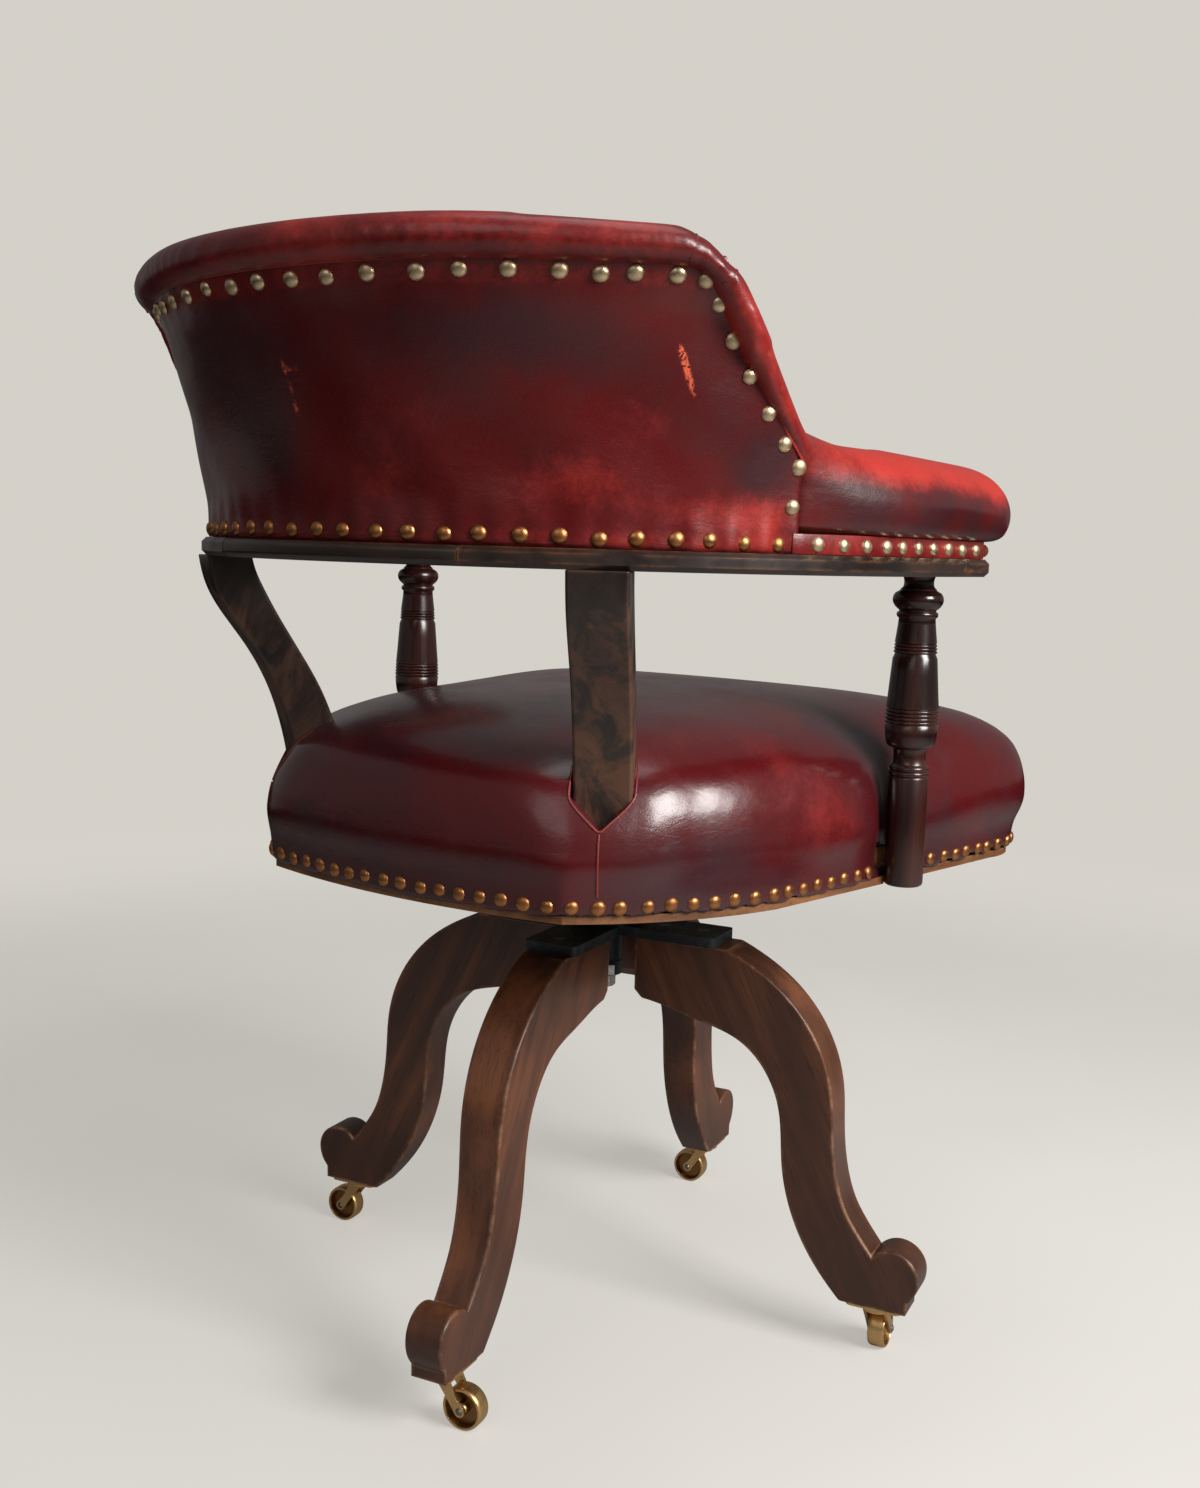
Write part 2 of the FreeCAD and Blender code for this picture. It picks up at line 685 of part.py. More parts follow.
def frame_hollow(grow, z_low, z_high):
    """The open middle of the seat frame, narrower at the back, with rounded corners."""
    front_x, front_y = HOLLOW_FRONT
    back_x, back_y = HOLLOW_BACK
    plan = Part.makePolygon(
        [
            Vec(-front_x - grow, front_y - grow, z_low),
            Vec(front_x + grow, front_y - grow, z_low),
            Vec(back_x + grow, back_y + grow, z_low),
            Vec(-back_x - grow, back_y + grow, z_low),
            Vec(-front_x - grow, front_y - grow, z_low),
        ]
    )
    room = Part.Face(plan).extrude(Vec(0, 0, z_high - z_low))
    middle_z = (z_low + z_high) / 2
    uprights = [edge for edge in room.Edges if abs(edge.CenterOfMass.z - middle_z) < 0.01]
    return room.makeFillet(HOLLOW_CORNER + grow, uprights)


def frame_top():
    return FRAME_UNDERSIDE_Z + FRAME_THICKNESS


def post_room(extra):
    """The space of both arm posts beside the seat, grown by a clearance."""
    radius = POST_RADIUS + extra
    rooms = [
        solid_disc(radius, FRAME_UNDERSIDE_Z - 5, PAD_CROWN_Z + 40, side * POST_X, POST_Y)
        for _, side in SIDES
    ]
    return rooms[0].fuse(rooms[1])


def post_screw(side, grow=0.0):
    """Screw from inside the frame rail into the foot of an arm post."""
    start_x = POST_X - 32.0
    pin = Part.makeCylinder(
        SCREW_SHANK_RADIUS + grow, 38.0, Vec(start_x, POST_Y, POST_SCREW_Z), Vec(1, 0, 0)
    )
    head = Part.makeCylinder(
        SCREW_HEAD_RADIUS + grow, 30.0 if grow else 3.0,
        Vec(start_x - (27.0 if grow else 0.0), POST_Y, POST_SCREW_Z), Vec(1, 0, 0)
    )
    return on_side(pin.fuse(head).removeSplitter(), side)


def seat_frame():
    """Hardwood ring with a lip below the leather, mortised for the stumps and let in for the posts."""
    lip_top = FRAME_UNDERSIDE_Z + FRAME_LIP_HEIGHT
    lip = seat_prism(0, FRAME_UNDERSIDE_Z, lip_top)
    upper = seat_prism(FRAME_LIP_WIDTH, lip_top, frame_top())
    hollow = frame_hollow(0.0, FRAME_UNDERSIDE_Z - 1, frame_top() + 1)
    body = lip.fuse(upper).cut(hollow)
    body = body.cut(post_room(SEATED))
    for _, side in SIDES:
        body = body.cut(on_side(stump_tenon(SEATED), side))
        body = body.cut(post_screw(side, SEATED))
    return body


def battens():
    """Two battens between the front and back rails of the frame."""
    inside = frame_hollow(-SEATED, FRAME_UNDERSIDE_Z, frame_top())
    pieces = []
    for _, side in SIDES:
        box = Part.makeBox(
            BATTEN_WIDTH,
            700.0,
            BATTEN_THICKNESS,
            Vec(side * BATTEN_X - BATTEN_WIDTH / 2, -350.0, FRAME_UNDERSIDE_Z),
        )
        batten = box.common(inside)
        for y in (-SPIDER_SCREW_OFFSET, SPIDER_SCREW_OFFSET):
            bore = screw_bore()
            batten = batten.cut(
                placed(bore, side * SPIDER_SCREW_OFFSET, y, spider_plate_low(), True)
            )
        pieces.append(batten)
    return pieces


def seat_webbing():
    """Straps laid both ways over the frame, joined where they cross."""
    z = frame_top()
    limit = seat_prism(FRAME_LIP_WIDTH + 8.0, z, z + WEB_THICKNESS)
    span = WEB_PITCH * (WEB_COUNT - 1)
    straps = []
    for index in range(WEB_COUNT):
        offset = -span / 2 + index * WEB_PITCH - WEB_WIDTH / 2
        straps.append(Part.makeBox(WEB_WIDTH, 700, WEB_THICKNESS, Vec(offset, -350, z)))
        straps.append(Part.makeBox(700, WEB_WIDTH, WEB_THICKNESS, Vec(-350, offset, z)))
    lattice = straps[0].multiFuse(straps[1:]).common(limit)
    for _, side in SIDES:
        lattice = lattice.cut(on_side(stump_solid(1.0), side))
    return lattice.removeSplitter()


def seat_pad():
    """Domed sprung pad, hollowed over the frame, with room for the posts and the stumps."""
    low = FRAME_UNDERSIDE_Z + FRAME_LIP_HEIGHT + PAD_GAP
    height = PAD_CROWN_Z - low
    rings = [seat_outline(low + share * height, scale) for scale, share in PAD_RINGS]
    body = Part.makeLoft(rings, True, True)
    frame_room = seat_prism(
        FRAME_LIP_WIDTH - PAD_GAP, low - 1, frame_top() + WEB_THICKNESS + PAD_GAP
    )
    body = body.cut(frame_room)
    body = body.cut(post_room(PAD_GAP))
    for _, side in SIDES:
        body = body.cut(on_side(stump_solid(PAD_GAP), side))
        body = body.cut(on_side(stump_window(), side))
        body = body.cut(post_screw(side, PAD_GAP))
    return whole(body)


def stump_face(points, grow):
    """One curved face of a stump, in the plane x = 0, moved outwards by a clearance."""
    height = RAIL_UNDERSIDE_Z - frame_top()
    spots = [Vec(0, out + grow, frame_top() + share * height) for out, share in points]
    return spline(spots, Vec(0, -0.15, -1), Vec(0, 0, -1)), spots


def stump_profile(grow):
    outer, outer_spots = stump_face(STUMP_OUTER_FACE, grow)
    inner, inner_spots = stump_face(STUMP_INNER_FACE, -grow)
    edges = [
        outer,
        inner,
        line(outer_spots[0], inner_spots[0]),
        line(outer_spots[-1], inner_spots[-1]),
    ]
    return Part.Face(wire_of(edges))


def at_stump(shape):
    """Carry a shape drawn along +Y to the left stump, whose curve runs out to the rail."""
    result = turned(shape, -STUMP_TURN)
    result.translate(polar(STUMP_TOP_RADIUS, STUMP_TOP_ANGLE, 0))
    return result


def stump_solid(grow=0.0):
    """Curved stump on the left side, square in section, standing on the seat frame."""
    width = STUMP_WIDTH + 2 * grow
    body = stump_profile(grow).extrude(Vec(width, 0, 0))
    body.translate(Vec(-width / 2, 0, 0))
    if not grow:
        long_edges = [
            edge
            for edge in body.Edges
            if abs(abs(edge.CenterOfMass.x) - width / 2) < 0.01
            and edge.Length > 100
        ]
        body = body.makeChamfer(STUMP_CHAMFER, long_edges)
    return at_stump(body)


def stump_tenon(grow=0.0):
    """Tenon under the stump's foot, or its mortise when grown."""
    middle = (STUMP_OUTER_FACE[-1][0] + STUMP_INNER_FACE[-1][0]) / 2
    width = STUMP_TENON_WIDTH + 2 * grow
    thickness = STUMP_TENON_THICKNESS + 2 * grow
    box = Part.makeBox(
        width,
        thickness,
        STUMP_TENON_LENGTH + grow,
        Vec(-width / 2, middle - thickness / 2, frame_top() - STUMP_TENON_LENGTH - grow),
    )
    return at_stump(box)


def stump_window():
    """Room in front of a stump where the leather is cut away in a V."""
    half = STUMP_WIDTH / 2 + PAD_GAP
    face_out = STUMP_OUTER_FACE[-1][0]
    section = Part.makePolygon(
        [
            Vec(0, face_out, STUMP_WINDOW_TIP_Z),
            Vec(half, face_out, STUMP_WINDOW_SHOULDER_Z),
            Vec(half, face_out, RAIL_UNDERSIDE_Z),
            Vec(-half, face_out, RAIL_UNDERSIDE_Z),
            Vec(-half, face_out, STUMP_WINDOW_SHOULDER_Z),
            Vec(0, face_out, STUMP_WINDOW_TIP_Z),
        ]
    )
    return at_stump(Part.Face(section).extrude(Vec(0, 80.0, 0)))


def stump():
    return stump_solid().fuse(stump_tenon()).removeSplitter()


def groove_band(first, last, count):
    """Zigzag of fine grooves between two points of a turned profile."""
    step = (last - first) * (1.0 / count)
    points = [first]
    for index in range(count):
        points.append(first + step * (index + 0.5) - Vec(POST_GROOVE_DEPTH, 0, 0))
        points.append(first + step * (index + 1))
    return points


def arm_post():
    """Turned post: neck, bulb and ring, a swelling shaft with grooves, then a ringed straight foot."""
    top = RAIL_UNDERSIDE_Z
    foot = POST_FOOT_Z

    def at(radius, below_top):
        return Vec(radius, 0, top - below_top)

    cap = at(POST_NECK_RADIUS + 1.0, 0)
    neck = at(POST_NECK_RADIUS, POST_NECK_LENGTH)
    bulb_end = at(POST_RING_RADIUS - 1.6, POST_BULB_END)
    ring_end = at(POST_RING_RADIUS - 1.6, POST_BULB_END + POST_RING_HEIGHT)
    upper_band = groove_band(
        at(POST_SHAFT_TOP_RADIUS, POST_UPPER_BAND),
        at(POST_SHAFT_TOP_RADIUS + 0.7, POST_UPPER_BAND + 7.2),
        3,
    )
    lower_band = groove_band(
        at(POST_SHAFT_RADIUS - 0.5, POST_LOWER_BAND), at(POST_SHAFT_RADIUS, POST_LOWER_BAND + 11.2), 4
    )
    shoulder = at(POST_SHAFT_RADIUS - 1.9, POST_SHAFT_END - 2.5)
    waist_top = at(POST_WAIST_RADIUS, POST_SHAFT_END)
    waist_low = at(POST_WAIST_RADIUS, POST_SHAFT_END + POST_WAIST_LENGTH)
    foot_ring = at(POST_RADIUS, POST_SHAFT_END + POST_WAIST_LENGTH + 2.0)
    foot_groove = groove_band(foot_ring - Vec(0, 0, 3.0), foot_ring - Vec(0, 0, 5.2), 1)
    edges = [
        line(Vec(0, 0, top), cap),
        arc(cap, at(POST_NECK_RADIUS - 0.4, POST_NECK_LENGTH / 2), neck),
        arc(neck, at(POST_BULB_RADIUS, (POST_NECK_LENGTH + POST_BULB_END) / 2), bulb_end),
        arc(bulb_end, at(POST_RING_RADIUS, POST_BULB_END + POST_RING_HEIGHT / 2), ring_end),
        line(ring_end, upper_band[0]),
        arc(waist_top, at(POST_WAIST_RADIUS - 0.5, POST_SHAFT_END + POST_WAIST_LENGTH / 2), waist_low),
    ]
    edges += chain(upper_band + lower_band + [shoulder, waist_top])
    edges += chain([waist_low, foot_ring] + foot_groove)
    edges += chain([foot_groove[-1], Vec(POST_RADIUS, 0, foot), Vec(0, 0, foot), Vec(0, 0, top)])
    body = Part.Face(wire_of(edges)).revolve(Vec(0, 0, 0), UP, 360)
    tenon = solid_disc(POST_TENON_RADIUS, top - 1, top + POST_TENON_LENGTH)
    body = body.fuse(tenon).removeSplitter()
    body.translate(Vec(POST_X, POST_Y, 0))
    return body.cut(post_screw(1, SEATED))


def rail_inner_radius():
    return RAIL_OUTER_RADIUS - RAIL_WIDTH


def rail_plan(z):
    """Plan of the whole horseshoe rail as a closed wire."""
    outer = RAIL_OUTER_RADIUS
    inner = rail_inner_radius()
    centre = RAIL_CENTRE_Y
    front = RAIL_FRONT_Y
    edges = [
        arc(Vec(-outer, centre, z), Vec(0, centre + outer, z), Vec(outer, centre, z)),
        line(Vec(outer, centre, z), Vec(outer, front, z)),
        line(Vec(outer, front, z), Vec(inner, front, z)),
        line(Vec(inner, front, z), Vec(inner, centre, z)),
        arc(Vec(inner, centre, z), Vec(0, centre + inner, z), Vec(-inner, centre, z)),
        line(Vec(-inner, centre, z), Vec(-inner, front, z)),
        line(Vec(-inner, front, z), Vec(-outer, front, z)),
        line(Vec(-outer, front, z), Vec(-outer, centre, z)),
    ]
    return Part.Wire(edges)


def rail_blank():
    body = Part.Face(rail_plan(RAIL_UNDERSIDE_Z)).extrude(Vec(0, 0, RAIL_THICKNESS))
    middle_z = RAIL_UNDERSIDE_Z + RAIL_THICKNESS / 2
    corners = [
        edge
        for edge in body.Edges
        if abs(edge.CenterOfMass.z - middle_z) < 0.01 and abs(edge.CenterOfMass.y - RAIL_FRONT_Y) < 0.01
    ]
    body = body.makeFillet(RAIL_END_ROUNDING, corners)
    rims = [edge for edge in body.Edges if abs(edge.CenterOfMass.z - middle_z) > RAIL_THICKNESS / 2 - 0.01]
    body = body.makeChamfer(RAIL_EASING, rims)
    for _, side in SIDES:
        hole = solid_disc(
            POST_TENON_RADIUS + SEATED,
            RAIL_UNDERSIDE_Z - 1,
            RAIL_UNDERSIDE_Z + POST_TENON_LENGTH + SEATED,
            side * POST_X,
            POST_Y,
        )
        body = body.cut(hole)
    return body


def rail_pieces():
    """The rail in its three pieces, butted at the joints behind the sitter."""
    blank = rail_blank()
    middle = Part.makeBox(
        2 * RAIL_JOINT_X, 400, 60, Vec(-RAIL_JOINT_X, RAIL_CENTRE_Y, RAIL_UNDERSIDE_Z - 20)
    )
    wide = Part.makeBox(
        2 * RAIL_JOINT_X + 2 * SEATED,
        400,
        60,
        Vec(-RAIL_JOINT_X - SEATED, RAIL_CENTRE_Y, RAIL_UNDERSIDE_Z - 20),
    )
    arms = blank.cut(wide).Solids
    left = max(arms, key=lambda piece: piece.CenterOfMass.x)
    right = min(arms, key=lambda piece: piece.CenterOfMass.x)
    return blank.common(middle), left, right


def rail_top():
    return RAIL_UNDERSIDE_Z + RAIL_THICKNESS


def flare_radius(z, foot, middle, top):
    """Radius of the back's flare at a height, from its radii at the foot, the middle and the top."""
    low = rail_top()
    share = (z - low) / (BACK_TOP_Z - low)
    mid_share = (BACK_MID_Z - low) / (BACK_TOP_Z - low)
    rise = (middle - foot) / mid_share
    bend = ((top - foot) - rise) / (1 - mid_share)
    return foot + rise * share + bend * share * (share - mid_share)


def flare_line(depth, foot=BACK_FOOT_RADIUS, middle=BACK_MID_RADIUS, top=BACK_TOP_RADIUS):
    """The flare in short straight steps from the rail up, moved inwards by a depth."""
    step = (BACK_TOP_Z - rail_top()) / BACK_STEPS
    heights = [rail_top() + step * index for index in range(BACK_STEPS + 1)]
    return [behind(flare_radius(z, foot, middle, top) - depth, z) for z in heights]


def back_shell(depth_out, depth_in):
    """A curved layer of the back between two depths."""
    outline = flare_line(depth_out) + list(reversed(flare_line(depth_in)))
    return swept_profile(chain(outline + [outline[0]]), -BACK_ANGLE, BACK_ANGLE)


def slope_cutter():
    """Everything in front of the sloping ends of the back, on both sides."""
    top = polar(BACK_TOP_RADIUS, BACK_SLOPE_TOP_ANGLE, BACK_TOP_Z)
    foot = polar(BACK_FOOT_RADIUS, BACK_ANGLE, BACK_SLOPE_FOOT_Z)
    inward = polar(0.0, 0.0, BACK_TOP_Z) - top
    normal = inward.cross(foot - top)
    normal.normalize()
    if normal.y > 0:
        normal = normal * -1
    box = Part.makeBox(900, 900, 400, Vec(-450, -450, 0))
    box.Placement = FreeCAD.Placement(top, FreeCAD.Rotation(UP, normal))
    return [box, mirrored(box)]


def tangent_arc(start, tangent, end):
    """Arc from one point to another that leaves along a tangent, and its tangent at the end."""
    chord = (end - start).normalize()
    across = chord - tangent * chord.dot(tangent)
    middle = (start + end) * 0.5
    half = (end - start).Length / 2
    sine = across.Length
    bulge = half * (1 - chord.dot(tangent)) / sine
    outward = (tangent - chord * chord.dot(tangent)).normalize()
    edge = arc(start, middle + outward * bulge, end)
    return edge, chord * (2 * chord.dot(tangent)) - tangent


def roll_arcs():
    """Centre line of the top roll on the left: level from the middle, then down to the arm."""
    shoulder = ROLL_SHOULDER_ANGLE
    start = polar(ROLL_PATH_RADIUS, shoulder, ROLL_Z)
    half = polar(ROLL_PATH_RADIUS, shoulder / 2, ROLL_Z)
    level = arc(behind(ROLL_PATH_RADIUS, ROLL_Z), half, start)
    tangent = polar(1.0, shoulder + 90.0, ROLL_Z) - polar(0.0, 0.0, ROLL_Z)
    edges = [level]
    for radius, angle, height in ROLL_DROP:
        end = polar(radius, angle, RAIL_UNDERSIDE_Z + height)
        edge, tangent = tangent_arc(start, tangent, end)
        edges.append(edge)
        start = end
    return edges


def roll_solid(radius):
    """The top roll as a rod bent along its arcs, mirrored for the right half."""
    spans = []
    for edge in roll_arcs():
        start = edge.valueAt(edge.FirstParameter)
        tangent = edge.tangentAt(edge.FirstParameter)
        disc = Part.Face(Part.Wire(Part.makeCircle(radius, start, tangent)))
        circle = edge.Curve
        sweep = math.degrees(edge.Length / circle.Radius)
        spans.append(disc.revolve(circle.Center, circle.Axis, sweep))
    spans += [mirrored(span) for span in spans]
    return spans[0].multiFuse(spans[1:]).removeSplitter()


def arm_section(grow):
    """Section of an arm pad, drawn behind the rail's centre: flat underneath and domed on top."""
    middle = RAIL_OUTER_RADIUS - RAIL_WIDTH / 2
    low = rail_top() + ARM_BOARD_THICKNESS - grow
    half = ARM_PAD_HALF_WIDTH + grow
    rise = ARM_PAD_TOP_Z + grow - ARM_PAD_SIDE_Z
    dome = []
    for index in range(ARM_PAD_STEPS + 1):
        theta = math.pi * index / ARM_PAD_STEPS
        dome.append(behind(middle + half * math.cos(theta), ARM_PAD_SIDE_Z + rise * math.sin(theta)))
    foot = [
        behind(middle - half + 2.0, (ARM_PAD_SIDE_Z + low) / 2 - 2.0),
        behind(middle - half + 7.0, low),
        behind(middle + half - 7.0, low),
        behind(middle + half - 2.0, (ARM_PAD_SIDE_Z + low) / 2 - 2.0),
    ]
    return Part.Face(wire_of(chain(dome + foot + [dome[0]])))


def arm_pad(grow=0.0):
    """Left arm pad: round from the back, straight along the arm and blunt at the front."""
    middle = RAIL_OUTER_RADIUS - RAIL_WIDTH / 2
    centre = Vec(0, RAIL_CENTRE_Y, 0)
    face = arm_section(grow)
    rear = face.copy()
    start = ARM_PAD_START - math.degrees(grow / middle)
    rear.rotate(centre, UP, -start)
    bend = rear.revolve(centre, UP, -(90.0 - start))
    face.rotate(centre, UP, -90)
    run = face.extrude(Vec(0, ARM_PAD_END_Y - RAIL_CENTRE_Y, 0))
    end_centre = Vec(middle, ARM_PAD_END_Y, 0)
    half_plane = Part.makeBox(200, 1, 400, Vec(middle, RAIL_CENTRE_Y - 0.5, 500))
    half_face = face.common(half_plane)
    half_face.translate(Vec(0, ARM_PAD_END_Y - RAIL_CENTRE_Y, 0))
    nose = half_face.revolve(end_centre, UP, -180)
    return bend.multiFuse([run, nose]).removeSplitter()


def arm_board():
    """Board under the left arm pad, its edge covered by the nailed leather band."""
    low = rail_top()
    outer = RAIL_OUTER_RADIUS - ARM_BOARD_INSET
    inner = rail_inner_radius() + ARM_BOARD_INSET
    centre = Vec(0, RAIL_CENTRE_Y, 0)
    face = Part.Face(
        Part.makePolygon(
            [
                behind(inner, low),
                behind(outer, low),
                behind(outer, low + ARM_BOARD_THICKNESS),
                behind(inner, low + ARM_BOARD_THICKNESS),
                behind(inner, low),
            ]
        )
    )
    rear = face.copy()
    rear.rotate(centre, UP, -ARM_PAD_START)
    bend = rear.revolve(centre, UP, -(90.0 - ARM_PAD_START))
    face.rotate(centre, UP, -90)
    run = face.extrude(Vec(0, RAIL_FRONT_Y + ARM_BOARD_INSET - RAIL_CENTRE_Y, 0))
    body = bend.fuse(run).removeSplitter()
    front = RAIL_FRONT_Y + ARM_BOARD_INSET
    corners = [
        edge
        for edge in body.Edges
        if abs(edge.CenterOfMass.y - front) < 0.01
        and abs(edge.CenterOfMass.z - low - ARM_BOARD_THICKNESS / 2) < 0.01
    ]
    return body.makeFillet(RAIL_END_ROUNDING - 2.0, corners)


def back_parts():
    """Board, outside leather, inner pad and top roll of the back."""
    roll = roll_solid(ROLL_RADIUS)
    roll_room = roll_solid(ROLL_RADIUS + PAD_GAP)
    slopes = slope_cutter()
    arm_room = [arm_pad(PAD_GAP), mirrored(arm_pad(PAD_GAP))]
    outside = back_shell(0.0, LEATHER_THICKNESS - 0.02)
    board_in = LEATHER_THICKNESS + BACK_BOARD_THICKNESS
    board = back_shell(LEATHER_THICKNESS, board_in)
    low = rail_top()
    inner_depth = board_in + PAD_GAP
    top_out = BACK_TOP_RADIUS - inner_depth
    crest = (top_out + BACK_INNER_TOP) / 2
    inner_line = flare_line(0.0, BACK_INNER_FOOT, BACK_INNER_MID, BACK_INNER_TOP)
    outline = flare_line(inner_depth) + [
        behind(top_out - 8.0, BACK_PAD_TOP_Z - 3.0),
        behind(crest, BACK_PAD_TOP_Z),
        behind(BACK_INNER_TOP + 5.0, BACK_PAD_TOP_Z - 6.0),
    ]
    outline += list(reversed(inner_line))
    pad_edges = chain(outline + [outline[0]])
    pad = swept_profile(pad_edges, -BACK_ANGLE, BACK_ANGLE)
    outside = outside.cut(slopes).cut(roll_room)
    board = board.cut(slopes).cut(roll_room)
    pad = pad.cut(slopes).cut(roll_room)
    roll = roll.cut(arm_room)
    return {
        "back_board": board,
        "outside_back": outside,
        "back_pad": pad,
        "top_roll": roll,
    }


def whole(shape):
    """The largest solid of a cut, so that a sliver never rides along."""
    return max(shape.Solids, key=lambda piece: piece.Volume)


def base_nodes():
    nodes = {}
    for index, name in enumerate(LEG_NAMES):
        angle = leg_angle(index)
        nodes[f"leg_{name}"] = turned(leg(), angle)
        nodes[f"caster_plate_{name}"] = turned(caster_plate(), angle)
        nodes[f"caster_fork_{name}"] = at_caster(caster_fork(), index)
        nodes[f"caster_axle_{name}"] = at_caster(caster_axle(), index)
        nodes[f"caster_wheel_{name}"] = at_caster(caster_wheel(), index)
    nodes["base_cross"] = turned(base_cross(), leg_angle(0))
    cross_screws = []
    plate_screws = []
    for index in range(4):
        angle = leg_angle(index)
        for radius in CROSS_SCREW_RADII:
            screw = placed(wood_screw(), radius, 0, LEG_TOP_Z + CROSS_THICKNESS)
            cross_screws.append(turned(screw, angle))
        for offset in (-PLATE_SCREW_X, PLATE_SCREW_X):
            screw = wood_screw(PLATE_SCREW_LENGTH)
            screw = placed(screw, CASTER_X + offset, 0, FOOT_Z - PLATE_THICKNESS, True)
            plate_screws.append(turned(screw, angle))
    nodes["base_cross_screws"] = Part.makeCompound(cross_screws)
    nodes["caster_plate_screws"] = Part.makeCompound(plate_screws)
    nodes["thrust_washer"] = thrust_washer()
    return nodes


def seat_nodes():
    nodes = {
        "swivel_spindle": swivel_spindle(),
        "retaining_collar": retaining_collar(),
        "collar_bolt": collar_bolt(),
        "seat_spider": seat_spider(),
        "seat_frame": whole(seat_frame()),
        "seat_webbing": seat_webbing(),
        "seat_pad": seat_pad(),
    }
    spider_screws = []
    for x in (-SPIDER_SCREW_OFFSET, SPIDER_SCREW_OFFSET):
        for y in (-SPIDER_SCREW_OFFSET, SPIDER_SCREW_OFFSET):
            spider_screws.append(placed(wood_screw(), x, y, spider_plate_low(), True))
    nodes["seat_spider_screws"] = Part.makeCompound(spider_screws)
    nodes["post_screws"] = Part.makeCompound([post_screw(side) for _, side in SIDES])
    batten_right, batten_left = battens()
    nodes["batten_right"] = batten_right
    nodes["batten_left"] = batten_left
    bow, rail_left, rail_right = rail_pieces()
    nodes["rail_bow"] = bow
    nodes["arm_rail_left"] = rail_left
    nodes["arm_rail_right"] = rail_right
    for name, side in SIDES:
        nodes[f"arm_post_{name}"] = on_side(arm_post(), side)
        nodes[f"stump_{name}"] = on_side(stump(), side)
        nodes[f"arm_board_{name}"] = on_side(arm_board(), side)
        nodes[f"arm_pad_{name}"] = on_side(arm_pad(), side)
    nodes.update({name: whole(shape) for name, shape in back_parts().items()})
    return nodes


def main():
    os.makedirs("parts", exist_ok=True)
    nodes = base_nodes()
    nodes.update(seat_nodes())
    for name, shape in nodes.items():
        shape.exportStep(os.path.join("parts", f"{name}.step"))
        print(name, len(shape.Solids), shape.isValid(), round(shape.Volume))


main()
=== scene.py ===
"""Dresses the bankers swivel chair: oxblood leather, brass nails, ebonised rail and mahogany legs.

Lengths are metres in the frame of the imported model. The sitter faces -Y, +Z is up and the
origin is on the floor under the swivel axis. The near arm in the picture is on the -X side.
"""

import json
import logging
import math
import random
from dataclasses import dataclass
from enum import Enum
from typing import Callable, Iterable, Sequence

import bmesh
import bpy
from mathutils import Matrix, Vector
from mathutils.bvhtree import BVHTree

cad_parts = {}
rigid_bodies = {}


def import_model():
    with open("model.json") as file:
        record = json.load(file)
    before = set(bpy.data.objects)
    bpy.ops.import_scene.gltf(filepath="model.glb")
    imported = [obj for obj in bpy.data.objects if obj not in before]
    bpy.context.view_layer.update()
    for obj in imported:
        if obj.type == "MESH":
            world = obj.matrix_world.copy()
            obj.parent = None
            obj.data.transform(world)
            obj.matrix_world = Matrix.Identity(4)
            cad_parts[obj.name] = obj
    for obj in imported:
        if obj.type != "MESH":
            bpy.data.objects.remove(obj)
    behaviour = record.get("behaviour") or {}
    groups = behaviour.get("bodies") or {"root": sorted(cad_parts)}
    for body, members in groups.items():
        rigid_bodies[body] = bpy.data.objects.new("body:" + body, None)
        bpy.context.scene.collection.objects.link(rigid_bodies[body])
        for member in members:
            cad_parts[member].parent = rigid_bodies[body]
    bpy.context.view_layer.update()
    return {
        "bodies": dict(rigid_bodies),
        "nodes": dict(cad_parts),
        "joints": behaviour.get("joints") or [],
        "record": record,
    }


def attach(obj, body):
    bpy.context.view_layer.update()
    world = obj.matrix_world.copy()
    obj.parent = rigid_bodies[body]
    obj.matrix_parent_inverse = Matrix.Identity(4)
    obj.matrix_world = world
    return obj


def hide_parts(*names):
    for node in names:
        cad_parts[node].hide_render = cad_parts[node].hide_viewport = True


LOG = logging.getLogger("swivel_chair")
MM = 0.001
RAIL_CENTRE = Vector((0.0, 0.0545, 0.0))
RAIL_OUTER = 0.279
RAIL_INNER = 0.215
RAIL_MIDDLE = (RAIL_OUTER + RAIL_INNER) / 2
RAIL_LOW = 0.601
RAIL_TOP = 0.6137
BAND_TOP = 0.6262
BACK_TOP = 0.776
FLARE_FOOT = 0.273
FLARE_TOP = 0.312
FLARE_MIDDLE_Z = 0.690
FLARE_MIDDLE_OUT = 0.010
POST_X = 0.2435
POST_Y = -0.032
POST_FOOT = 0.374
STUMP_TURN = 29.5
LEG_NAMES = ("rear", "right", "front", "left")
LEG_ANGLES = (100.0, 190.0, 280.0, 370.0)
CASTER_TURNS = (90.0, 90.0, 90.0, 0.0)
CASTER_REACH = 0.240
CASTER_TRAIL = 0.015
SHARP_EDGE = math.radians(24.0)

Point = tuple[float, float, float]


class Side(Enum):
    """A side of the chair as the sitter names it, with its sign along X."""

    RIGHT = -1
    LEFT = 1

    @property
    def word(self) -> str:
        """The side's name in lower case, as the nodes use it."""
        return self.name.lower()


class BrassTone(Enum):
    """How far the brass has aged."""

    PALE = (0.76, 0.59, 0.37)
    OLD_GOLD = (0.50, 0.215, 0.080)
    POLISHED = (0.72, 0.46, 0.20)


def polar(radius: float, degrees: float, z: float) -> Vector:
    """Point about the rail's centre.

    Args:
        radius: Distance from the rail's upright axis.
        degrees: Angle from the back (+Y), opening towards +X.
        z: Height above the floor.

    Returns:
        The point in the chair's frame.
    """
    theta = math.radians(degrees)
    return RAIL_CENTRE + Vector((radius * math.sin(theta), radius * math.cos(theta), z))


